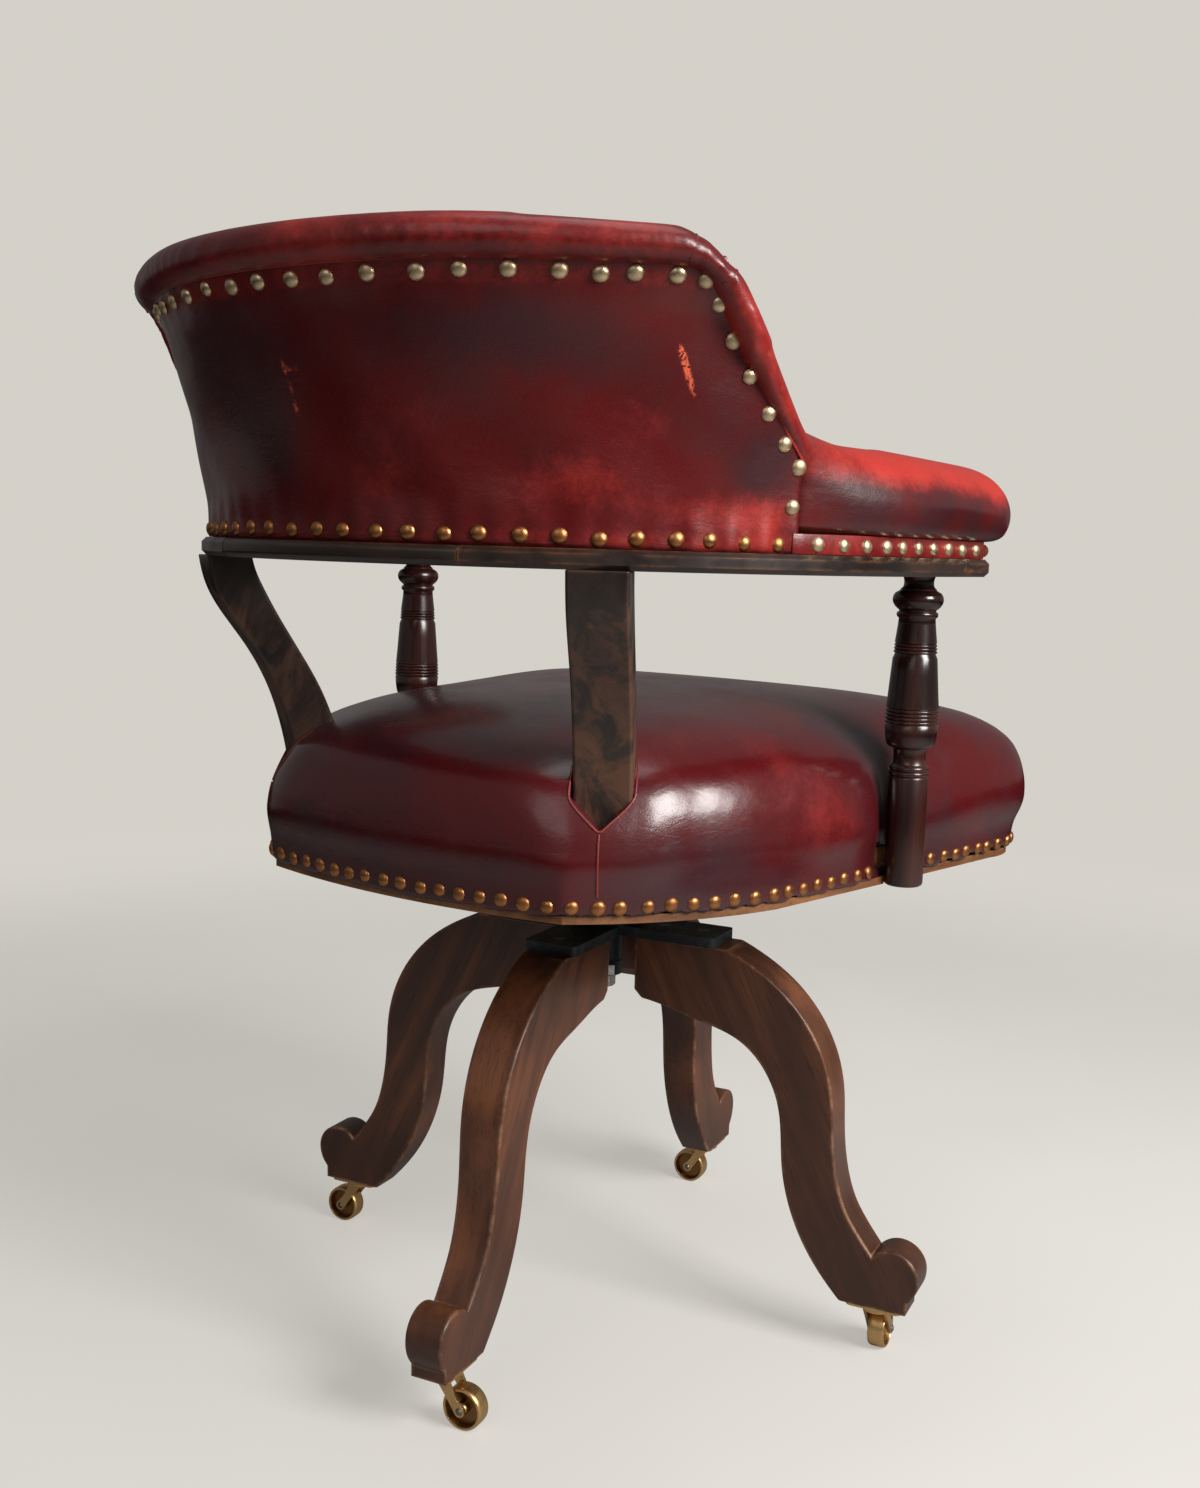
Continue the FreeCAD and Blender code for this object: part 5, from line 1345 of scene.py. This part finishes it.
@dataclass
class Back:
    """The padded horseshoe back: outside leather, inside pad, top roll and nails."""

    shop: Workshop
    finishes: Finishes
    angle: float = 65.2
    slope_top: float = 50.5
    slope_foot: float = 0.664
    overlap: float = 1.2
    low_pitch: float = 4.9
    high_pitch: float = 5.3
    roll_middle: float = 0.7845
    roll_foot: float = 0.7655
    seam_depth: float = 0.0011
    seam_angles: tuple[float, float] = (48.3, 51.9)
    hide: float = 0.0024
    high_reach: float = 34.2
    low_reach: float = 63.6
    corner_pitch: float = 4.05
    high_nail_z: float = 0.7665
    low_nail_z: float = 0.6200

    def build(self) -> None:
        """Make the back."""
        self._outside()
        self._roll()
        self._inside()
        self._nails()

    def _skin(self, degrees: float, z: float, proud: float = 0.0) -> Vector:
        """A point on the outside leather."""
        return polar(flare_radius(z) + proud, degrees, z)

    def _slope(self, side: int) -> tuple[Vector, Vector]:
        """A point on a sloping end's plane, and the plane's normal towards the front."""
        top = polar(FLARE_TOP, (self.slope_top + self.overlap) * side, BACK_TOP)
        foot = polar(FLARE_FOOT, (self.angle + self.overlap) * side, self.slope_foot)
        inward = Vector((RAIL_CENTRE.x, RAIL_CENTRE.y, BACK_TOP)) - top
        normal = inward.cross(foot - top).normalized()
        return top, (normal if normal.y < 0 else -normal)

    def _pucker(self, degrees: float, z: float) -> float:
        """How far the leather stands proud between the nails of its lower edge."""
        low = bell(z - 0.6185, 0.020)
        high = bell(z - self.high_nail_z, 0.012)
        waves = 0.5 - 0.5 * math.cos(2 * math.pi * degrees / self.low_pitch)
        crest = 0.5 - 0.5 * math.cos(2 * math.pi * degrees / self.high_pitch)
        corner = 1.0 + 1.6 * smooth_step(42.0, 60.0, abs(degrees))
        swell = 0.0016 * math.sin(0.13 * degrees + 40.0 * z) + 0.0009 * math.sin(0.31 * degrees - 65.0 * z)
        body = smooth_step(0.620, 0.650, z) * smooth_step(0.765, 0.745, z)
        return 0.0011 * low * corner * (waves - 0.6) + 0.0006 * high * (crest - 0.5) + swell * body

    def _outside(self) -> None:
        """The outside leather, spun from the flare, cut along the slopes and given its thickness."""
        rows = 40
        heights = [RAIL_TOP + 0.0002 + (BACK_TOP + 0.002 - RAIL_TOP) * k / rows for k in range(rows + 1)]
        reach = self.angle + 1.0
        bm = spun([(flare_radius(z) + 0.0004, z) for z in heights], 260, RAIL_CENTRE, -2 * reach, -reach)
        for vertex in bm.verts:
            gap = vertex.co - RAIL_CENTRE
            degrees = math.degrees(math.atan2(gap.x, gap.y))
            out = Vector((gap.x, gap.y, 0.0)).normalized()
            vertex.co += out * self._pucker(degrees, vertex.co.z)
        for side in (-1, 1):
            top, normal = self._slope(side)
            bmesh.ops.bisect_plane(
                bm, geom=bm.verts[:] + bm.edges[:] + bm.faces[:], dist=1e-6, plane_co=top,
                plane_no=normal, clear_outer=True,
            )
        bmesh.ops.recalc_face_normals(bm, faces=bm.faces)
        facing = sum(f.normal.dot((f.calc_center_median() - RAIL_CENTRE).to_2d().to_3d()) for f in bm.faces)
        if facing < 0:
            bmesh.ops.reverse_faces(bm, faces=bm.faces)
        panel = self.shop.piece(bm, "outside_back_leather", "seat", self.finishes.leather, sharp=60.0)
        thick = panel.modifiers.new("hide_thickness", "SOLIDIFY")
        thick.thickness = self.hide
        thick.offset = -1.0
        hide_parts("outside_back")
        self._patina(panel)

    def _patina(self, panel: bpy.types.Object) -> None:
        """Smoky, rubbed and scuffed places of the outside back, and a painted pinkish sheen low on the lit
        side and along the lower band.
        """

        def stains(rows: Iterable[tuple[float, float, float, float, float]]) -> list[Patch]:
            return [Patch(self._skin(-a, z), size, strength, tall) for a, z, size, strength, tall in rows]

        smoke = stains((
            (-8.0, 0.735, 0.045, 0.9, 1.6), (-20.0, 0.70, 0.05, 0.9, 1.6), (-38.0, 0.68, 0.06, 0.8, 1.4),
            (-8.0, 0.665, 0.035, 0.6, 1.4), (20.0, 0.738, 0.050, 0.62, 0.5), (31.0, 0.730, 0.050, 0.62, 0.5),
            (40.0, 0.715, 0.040, 0.35, 0.8), (60.0, 0.668, 0.028, 0.8, 1.1), (53.0, 0.700, 0.035, 0.6, 1.2),
            (-55.0, 0.68, 0.06, 0.5, 1.2), (33.0, 0.665, 0.030, 0.30, 0.6),
        ))
        # The two patches low at 52 and 61.5 degrees on the lit side are a painted pinkish sheen; the others
        # are rubbed places.
        rub = stains((
            (10.0, 0.690, 0.035, 0.28, 0.6), (14.0, 0.655, 0.045, 0.36, 0.5), (36.0, 0.648, 0.045, 0.45, 0.5),
            (44.0, 0.690, 0.035, 0.34, 0.8), (52.0, 0.638, 0.032, 0.50, 0.5), (61.5, 0.632, 0.022, 0.66, 0.8),
            (-45.0, 0.64, 0.06, 0.3, 0.5),
        ))
        paint(
            panel, "smoke",
            lambda p: -0.05 + sum(s.at(p) for s in smoke) - 0.6 * smooth_step(0.757, 0.763, p.z)
            - 0.5 * smooth_step(0.630, 0.622, p.z),
        )
        # Lighter along the top edge and along the lower band; the lower band's light is a painted sheen.
        paint(
            panel, "rub",
            lambda p: -0.06 + sum(s.at(p) for s in rub) + 0.34 * smooth_step(0.756, 0.763, p.z)
            + 0.32 * smooth_step(0.628, 0.618, p.z),
        )
        tears = [Patch(self._skin(-47.9 - 0.32 * k, 0.7290 - 0.0042 * k), 0.0022, 0.7) for k in range(7)]
        tears += [Patch(self._skin(2.9 - 0.30 * k, 0.7260 - 0.0058 * k), 0.0023, 0.50) for k in range(7)]
        tears += [Patch(self._skin(2.4 - 0.8 * k, 0.7170 + 0.0004 * k), 0.0021, 0.6) for k in range(4)]
        paint_patches(panel, "scuff", 0.0, tears)

    def _roll_line(self, side: int) -> list[Vector]:
        """The roll's middle from its corner down the slope to its end."""
        return [
            polar(radius * MM, side * degrees, z * MM)
            for radius, degrees, z in ((310, 45, 784.5), (305.5, 52.5, 763), (293, 58.5, 717), (267, 68, 668))
        ]

    def _slimmed(self, point: Vector) -> Vector:
        """The roll grows slimmer as it comes down to the arm."""
        side = 1 if point.x > 0 else -1
        line = self._roll_line(side)
        best, share, way = None, 0.0, None
        for index, (start, end) in enumerate(zip(line, line[1:])):
            leg = end - start
            along = min(1.0, max(0.0, (point - start).dot(leg) / leg.length_squared))
            spot = start + leg * along
            if best is None or (point - spot).length < (point - best).length:
                best, share, way = spot, (index + along) / 3.0, leg
        if share <= 0.0:
            return point
        keep = 1.0 - 0.41 * smooth_step(0.0, 0.28, share) - 0.04 * smooth_step(0.7, 1.0, share)
        turned = smooth_step(0.0, 0.3, share)
        away = (best - RAIL_CENTRE).to_2d().normalized().to_3d()
        proud = (point - best).dot(away)
        full = 1.0 + 0.32 * turned if proud < 0.0 else 1.0
        upward = way.cross(away).normalized()
        upward = upward if upward.z > 0 else -upward
        spot = best + away * (proud * full - 0.003 * turned) + upward * (0.0016 * turned)
        return spot + (point - best - away * proud) * keep

    def _drooped(self, point: Vector) -> Vector:
        """The roll clears the nails below it and loses height towards its corners."""
        degrees = self._bearing(point)
        z = self.roll_middle - (self.roll_middle - point.z) * (
            1.0 - 0.20 * smooth_step(52.0, 46.0, degrees) if point.z < self.roll_middle else 1.0
        )
        if z > self.roll_foot:
            z = self.roll_foot + (z - self.roll_foot) * (1.0 - 0.15 * smooth_step(18.0, 46.0, degrees))
        return Vector((point.x, point.y, z))

    def _arm_form(self, point: Vector) -> Vector:
        """The arm is highest where it meets the roll and full at its nose."""
        rise = smooth_step(0.636, 0.684, point.z) * smooth_step(0.115, 0.165, point.y)
        nose = smooth_step(-0.03, -0.10, point.y)
        gap = (point - RAIL_CENTRE).to_2d()
        rear = smooth_step(86.0, 66.0, self._bearing(point)) if point.y > RAIL_CENTRE.y else 0.0
        proud = max(0.0, gap.length - flare_radius(max(point.z, RAIL_TOP)) - 0.0008)
        point = point - (gap.normalized() * proud * rear).to_3d()
        sunk = 0.004 * nose * smooth_step(0.63, 0.66, point.z)
        return point + Vector((0.0, -0.007 * nose, 0.012 * rise - sunk))

    def _roll(self) -> None:
        """The stuffed roll along the top that runs down into both arms, with its cross seams."""
        work = Upholstery(self.shop, voxel=0.0042, pressure=3.0, cap=0.0022, frames=12, smooth=8)
        whole = self.shop.copy_of("top_roll")
        for vertex in whole.verts:
            vertex.co = self._drooped(self._slimmed(vertex.co))
        for side in Side:
            arm = self.shop.copy_of(f"arm_pad_{side.word}")
            for vertex in arm.verts:
                vertex.co = self._arm_form(vertex.co)
            self.shop.join(whole, arm)
        skin = work.remeshed(
            whole, "roll_and_arm_leather",
            lambda p: 56.0 < self._bearing(p) < 88.0 and 0.650 < p.z < 0.735,
        )
        for vertex in skin.data.vertices:
            vertex.co -= vertex.normal * self._seam_dip(self._bearing(vertex.co), vertex.co.z)
        skin.data.update()
        work.swell(
            skin,
            lambda p, n: smooth_step(0.627, 0.640, p.z)
            * (1.0 - self._seam_dip(self._bearing(p), p.z) / self.seam_depth),
        )
        work.dress(
            skin, ("top_roll", "arm_pad_right", "arm_pad_left"), self.finishes.leather
        )
        self._roll_patina(skin)
        self._roll_seams(surface_of(skin))
        self._fold_line()

    def _fold_line(self) -> None:
        """The thin fold of leather where the roll is sewn down, outside the pale nails, coloured light red as
        a painted highlight along the roll's lower edge.
        """
        flank = (
            (46.5, 0.7737), (49.7, 0.7708), (52.3, 0.7570), (54.6, 0.7390), (57.3, 0.7195), (60.4, 0.6993),
            (63.5, 0.6822), (66.0, 0.6703),
        )
        course = [(-degrees, z) for degrees, z in reversed(flank)]
        course += [(degrees, 0.7737) for degrees in range(-44, 45, 4)]
        course += flank
        line = [self._skin(degrees, z, 0.0006 + self._pucker(degrees, z)) for degrees, z in course]
        thread = rod("roll_fold", line, 0.0009)
        fold = self.shop.piece(thread, "roll_fold", "seat", self.finishes.leather, sharp=60.0)
        # Light red: a painted highlight along the roll's lower edge.
        paint_evenly(fold, smoke=-0.3, rub=0.75)

    def _roll_seams(self, surface: BVHTree) -> None:
        """The two raised seams across the roll at each corner."""
        for side in Side:
            s = side.value
            whole = bmesh.new()
            for centre, ahead in (
                (polar(0.310, 47.6 * s, 0.7805), polar(0.310, 50.0 * s, 0.7765)),
                (polar(0.3060, 51.6 * s, 0.7670), polar(0.3030, 54.1 * s, 0.7510)),
            ):
                way = (ahead - centre).normalized()
                out = (centre - RAIL_CENTRE).to_2d().normalized().to_3d()
                out = (out - way * out.dot(way)).normalized()
                top = way.cross(out) if way.cross(out).z > 0 else -way.cross(out)
                line = []
                for step in range(-3, 15):
                    theta = math.radians(12.0 * step)
                    ray = out * math.cos(theta) + top * math.sin(theta)
                    hit, _, _, _ = surface.ray_cast(centre + ray * 0.05, -ray, 0.05)
                    if hit is not None:
                        line.append(hit + ray * 0.0001)
                for _ in range(3):
                    inner = [(a + b * 2 + c) / 4 for a, b, c in zip(line, line[1:], line[2:])]
                    line = [line[0], *inner, line[-1]]
                self.shop.join(whole, rod("roll_seam", line, 0.0007))
            name = f"roll_seams_{side.word}"
            seam = self.shop.piece(whole, name, "seat", self.finishes.leather, sharp=60.0)
            paint_evenly(seam, smoke=0.15, rub=0.35)

    def _roll_patina(self, skin: bpy.types.Object) -> None:
        """Dark hollows and rubbed tops of the roll and arms."""
        dark = [
            Patch(polar(0.320, -a, z), size, strength)
            for a, z, size, strength in (
                (-34, 0.790, 0.06, 0.55), (-14, 0.786, 0.05, 0.25), (30.0, 0.772, 0.022, 0.45),
                (16.0, 0.776, 0.025, 0.30), (40.0, 0.774, 0.024, 0.45), (48, 0.785, 0.010, 0.45),
            )
        ]
        light = [
            Patch(polar(0.316, -a, 0.796), size, strength)
            for a, size, strength in (
                (8.0, 0.05, 0.16), (26.0, 0.055, 0.22), (40.0, 0.035, 0.20), (58.0, 0.03, 0.15)
            )
        ]
        for s in (-1, 1):
            dark += spots((
                (s * 0.288, 0.155, 0.650, 0.034, 1.0), (s * 0.288, 0.115, 0.640, 0.030, 1.0),
                (s * 0.288, 0.06, 0.640, 0.024, 0.6), (s * 0.288, 0.025, 0.644, 0.026, 1.1),
                (s * 0.288, -0.02, 0.640, 0.024, 1.0), (s * 0.288, -0.07, 0.638, 0.020, 0.8),
            ))
            light += spots((
                (s * 0.268, 0.14, 0.694, 0.028, 0.65), (s * 0.270, 0.09, 0.684, 0.030, 0.75),
                (s * 0.272, 0.04, 0.680, 0.030, 0.60), (s * 0.272, -0.01, 0.676, 0.032, 0.55),
                (s * 0.27, -0.06, 0.666, 0.035, 0.75), (s * 0.25, -0.10, 0.660, 0.028, 0.40),
            ))
        paint_patches(skin, "smoke", -0.05, dark)
        paint(
            skin, "rub",
            lambda p: 0.20 + sum(s.at(p) for s in light) + 0.38 * smooth_step(0.785, 0.745, p.z)
            - 0.28 * smooth_step(0.700, 0.680, p.z) - 0.60 * smooth_step(0.668, 0.646, p.z),
        )
        paint_evenly(skin, scuff=0.0)

    @staticmethod
    def _bearing(point: Vector) -> float:
        """A point's angle from the back, without its side."""
        gap = point - RAIL_CENTRE
        return abs(math.degrees(math.atan2(gap.x, gap.y)))

    @staticmethod
    def _seam_dip(degrees: float, z: float) -> float:
        """Depth of the two cross seams of the roll at each corner."""
        first, second = Back.seam_angles
        near = bell(degrees - first, 0.45) * smooth_step(0.76, 0.77, z)
        far = bell(degrees - second, 0.5) * smooth_step(0.755, 0.765, z) * 0.7
        return Back.seam_depth * max(near, far)

    def _inside(self) -> None:
        """The pad that the sitter leans on, drawn in by a seam above the rail."""
        work = Upholstery(self.shop, voxel=0.0060, pressure=4.0, cap=0.009, frames=16, smooth=10)
        pad = work.remeshed(self.shop.copy_of("back_pad"), "inside_back_leather")

        def freedom(point: Vector, normal: Vector) -> float:
            gap = (point - RAIL_CENTRE).to_2d().length
            outside = flare_radius(max(point.z, RAIL_TOP))
            inner = smooth_step(outside - 0.024, outside - 0.034, gap)
            return inner * smooth_step(0.616, 0.650, point.z)

        work.swell(pad, freedom)
        work.dress(pad, ("back_pad",), self.finishes.leather)
        paint(pad, "smoke", lambda p: 0.15 + 0.5 * smooth_step(0.66, 0.62, p.z))
        paint(pad, "rub", lambda p: 0.02 + 0.35 * smooth_step(0.72, 0.79, p.z))
        paint_evenly(pad, scuff=0.0)

    def _nails(self) -> None:
        """Pale nails under the roll and down the slopes, old gold ones above the rail."""
        nailing = Nailing(self.shop, radius=0.0053, height=0.0031)
        chance = random.Random(5)
        upper = []
        reach = self.high_reach
        count = round(2 * reach / self.high_pitch)
        row = [-reach + 2 * reach * index / count for index in range(count + 1)]
        row += [side * (reach + self.corner_pitch * step) for side in (-1, 1) for step in (1, 2, 3)]
        for degrees in row:
            degrees += chance.uniform(-0.3, 0.3)
            upper.append(self._nail(degrees, self.high_nail_z + chance.uniform(-0.001, 0.001)))
        drop = (
            (49.5, 0.7652), (51.7, 0.7538), (54.0, 0.7350), (56.7, 0.7160), (59.8, 0.6960), (62.9, 0.6790),
            (65.6, 0.6660), (65.1, 0.6420),
        )
        for side in (-1, 1):
            for degrees, z in drop:
                upper.append(self._nail(side * (degrees + chance.uniform(-0.2, 0.2)), z))
        nailing.row("top_nails", upper, self.finishes.pale_brass)
        lower = []
        reach = self.low_reach
        count = round(2 * reach / self.low_pitch)
        for index in range(count + 1):
            degrees = -reach + 2 * reach * index / count + chance.uniform(-0.3, 0.3)
            lower.append(self._nail(degrees, self.low_nail_z + chance.uniform(-0.0008, 0.0008)))
        nailing.row("rail_nails", lower, self.finishes.gold_brass)

    def _nail(self, degrees: float, z: float) -> tuple[Vector, Vector]:
        """A nail's place and direction on the outside leather."""
        place = self._skin(degrees, z, 0.0006 + self._pucker(degrees, z))
        slope = (flare_radius(z + 0.002) - flare_radius(z - 0.002)) / 0.004
        theta = math.radians(degrees)
        return place, Vector((math.sin(theta), math.cos(theta), -slope)).normalized()


@dataclass
class Arms:
    """The nailed bands that the arms rest on."""

    shop: Workshop
    finishes: Finishes
    front_y: float = -0.075
    band_out: float = 0.0014
    nail_z: float = 0.6199
    nail_pitch: float = 0.0245

    def build(self) -> None:
        """Band both arms and nail them."""
        for side in Side:
            self._band(side)
            self._nails(side)

    def _band(self, side: Side) -> None:
        """The strip of leather nailed round the arm's board."""
        bm = self.shop.copy_of(f"arm_board_{side.word}")
        low, high = RAIL_TOP + 0.0002, BAND_TOP + 0.0004
        middle = Vector((side.value * RAIL_MIDDLE, 0.0, 0.0))
        for vertex in bm.verts:
            vertex.co.z = high if vertex.co.z > (low + high) / 2 else low
        walls = [f for f in bm.faces if abs(f.normal.z) < 0.5]
        lids = [f for f in bm.faces if f not in walls]
        bmesh.ops.delete(bm, geom=lids, context="FACES")
        bmesh.ops.recalc_face_normals(bm, faces=bm.faces)
        outward = 0.0
        for f in bm.faces:
            c = f.calc_center_median()
            if abs(c.x) > abs(middle.x) and c.y < 0.05:
                outward += f.normal.x * side.value * f.calc_area()
        if outward < 0:
            bmesh.ops.reverse_faces(bm, faces=bm.faces)
        band = self.shop.piece(bm, f"arm_band_{side.word}", "seat", self.finishes.leather, sharp=50.0)
        thick = band.modifiers.new("hide_thickness", "SOLIDIFY")
        thick.thickness = self.band_out
        thick.offset = 1.0
        ease = band.modifiers.new("soft_edge", "BEVEL")
        ease.width = 0.0006
        ease.segments = 2
        ease.limit_method = "ANGLE"
        paint_evenly(band, smoke=-0.5, rub=0.38, scuff=0.0)

    def _nails(self, side: Side) -> None:
        """Nails along the outside of the band and round its front."""
        chance = random.Random(3)
        out = RAIL_OUTER - 0.005 + self.band_out
        inner = RAIL_INNER + 0.005 - self.band_out
        z = self.nail_z
        places = []
        for degrees in (69.5, 74.2, 78.8, 83.3, 87.6):
            theta = math.radians(degrees)
            outward = Vector((side.value * math.sin(theta), math.cos(theta), 0))
            places.append((polar(out, side.value * degrees, z), outward))
        y = RAIL_CENTRE.y - 0.012
        while y > self.front_y + 0.006:
            place = Vector((side.value * out, y + chance.uniform(-0.001, 0.001), z))
            places.append((place, Vector((side.value, 0, 0))))
            y -= self.nail_pitch
        for share in (0.06, 0.35, 0.65, 0.94):
            x = inner + (out - inner) * share
            front = Vector((side.value * x, self.front_y - self.band_out + 0.0006, z))
            places.append((front, Vector((0, -1, 0))))
        y = self.front_y + 0.016
        while y < RAIL_CENTRE.y + 0.03:
            places.append((Vector((side.value * inner, y, z)), Vector((-side.value, 0, 0))))
            y += self.nail_pitch
        nailing = Nailing(self.shop, radius=0.0050, height=0.0029)
        nailing.row(f"arm_nails_{side.word}", places, self.finishes.pale_brass)


@dataclass
class Studio:
    """Pale floor, soft window light from the sitter's right, and the picture's own viewpoint."""

    focal_px: float = 1562.0
    frame_px: tuple[int, int] = (1200, 1488)
    azimuth: float = 215.3
    distance: float = 1.2492
    height: float = 0.6159
    yaw: float = 0.475
    pitch: float = 7.25
    roll: float = 1.68
    backdrop: Point = (0.66, 0.635, 0.585)

    def build(self) -> None:
        """Set the stage."""
        self._camera()
        self._floor()
        self._world()
        self._lamp("window", (-2.05, 0.15, 1.60), 0.45, size=1.0, power=66.0, colour=(1.0, 0.985, 0.96))
        self._lamp("room", (-0.6, 2.6, 2.1), 0.5, size=1.6, power=9.0, colour=(1.0, 0.99, 0.98))
        self._lamp("overhead", (-0.2, 0.0, 2.7), 0.4, size=1.4, power=9.0, colour=(1.0, 1.0, 1.0))
        bpy.context.scene.view_settings.view_transform = "Standard"

    def _camera(self) -> None:
        """Camera at the picture's viewpoint."""
        a = math.radians(self.azimuth)
        aa = math.radians(self.azimuth + self.yaw)
        p, q = math.radians(self.pitch), math.radians(self.roll)
        place = Vector((self.distance * math.sin(a), -self.distance * math.cos(a), self.height))
        forward = Vector((-math.sin(aa) * math.cos(p), math.cos(aa) * math.cos(p), -math.sin(p)))
        level = Vector((math.cos(aa), math.sin(aa), 0.0))
        above = level.cross(forward)
        right = level * math.cos(q) + above * math.sin(q)
        up = above * math.cos(q) - level * math.sin(q)
        data = bpy.data.cameras.new("picture_view")
        data.sensor_fit = "VERTICAL"
        data.sensor_height = 36.0
        data.lens = self.focal_px * 36.0 / self.frame_px[1]
        data.clip_start = 0.05
        camera = linked("picture_view", data)
        camera.matrix_world = Matrix((
            (right.x, up.x, -forward.x, place.x),
            (right.y, up.y, -forward.y, place.y),
            (right.z, up.z, -forward.z, place.z),
            (0, 0, 0, 1),
        ))
        bpy.context.scene.camera = camera

    def _floor(self) -> None:
        """A wide pale floor that runs on into the pale background."""
        bm = bmesh.new()
        bmesh.ops.create_grid(bm, x_segments=1, y_segments=1, size=9.0)
        floor = linked("floor", meshed(bm, "floor"))
        bench = Bench("painted_floor")
        cloud = bench.remap(bench.noise(1.3, 3.0), 0.3, 0.7)
        tone = bench.blend(cloud, (0.36, 0.355, 0.345), (0.40, 0.395, 0.385))
        span = bench.tree.nodes.new("ShaderNodeVectorMath")
        span.operation = "LENGTH"
        bench.put(span.inputs[0], bench.place())
        far = bench.remap(span.outputs["Value"], 0.7, 2.4)
        material = bench.finish(bench.blend(far, tone, (0.0, 0.0, 0.0)), 0.6)
        bench.put(bench.shader.inputs["Emission Color"], (*self.backdrop, 1.0))
        bench.put(bench.shader.inputs["Specular IOR Level"], bench.remap(far, 0.0, 1.0, 0.5, 0.0))
        path = bench.tree.nodes.new("ShaderNodeLightPath")
        glow = bench.sum("MULTIPLY", path.outputs["Is Camera Ray"], bench.remap(far, 0.0, 1.0, 0.62, 1.0))
        bench.put(bench.shader.inputs["Emission Strength"], glow)
        floor.data.materials.append(material)

    def _world(self) -> None:
        """Even grey-white light, with a paler backdrop where the camera sees it."""
        world = bpy.data.worlds.new("studio")
        bpy.context.scene.world = world
        world.use_nodes = True
        tree = world.node_tree
        tree.nodes.clear()
        output = tree.nodes.new("ShaderNodeOutputWorld")
        light = tree.nodes.new("ShaderNodeBackground")
        light.inputs["Color"].default_value = (1.0, 0.98, 0.95, 1.0)
        light.inputs["Strength"].default_value = 0.17
        seen = tree.nodes.new("ShaderNodeBackground")
        seen.inputs["Color"].default_value = (*self.backdrop, 1.0)
        seen.inputs["Strength"].default_value = 1.0
        path = tree.nodes.new("ShaderNodeLightPath")
        mix = tree.nodes.new("ShaderNodeMixShader")
        tree.links.new(path.outputs["Is Camera Ray"], mix.inputs["Fac"])
        tree.links.new(light.outputs["Background"], mix.inputs[1])
        tree.links.new(seen.outputs["Background"], mix.inputs[2])
        tree.links.new(mix.outputs["Shader"], output.inputs["Surface"])

    @staticmethod
    def _lamp(name: str, place: Point, aim_z: float, size: float, power: float, colour: Point) -> None:
        """A square softbox that looks at the swivel axis at a height."""
        data = bpy.data.lights.new(name, "AREA")
        data.shape = "SQUARE"
        data.size = size
        data.energy = power
        data.color = colour
        lamp = linked(name, data)
        aim = Vector((0.0, 0.0, aim_z)) - Vector(place)
        lamp.matrix_world = Matrix.Translation(place) @ aim.to_track_quat("-Z", "Y").to_matrix().to_4x4()


def main() -> None:
    """Build the chair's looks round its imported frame, then the studio."""
    logging.basicConfig(level=logging.INFO, format="%(message)s")
    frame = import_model()
    finishes = Finishes.mix()
    shop = Workshop(frame)
    Studio().build()
    SwivelBase(shop, finishes).build()
    SeatWood(shop, finishes).build()
    Seat(shop, finishes).build()
    Back(shop, finishes).build()
    Arms(shop, finishes).build()


if __name__ == "__main__":
    main()
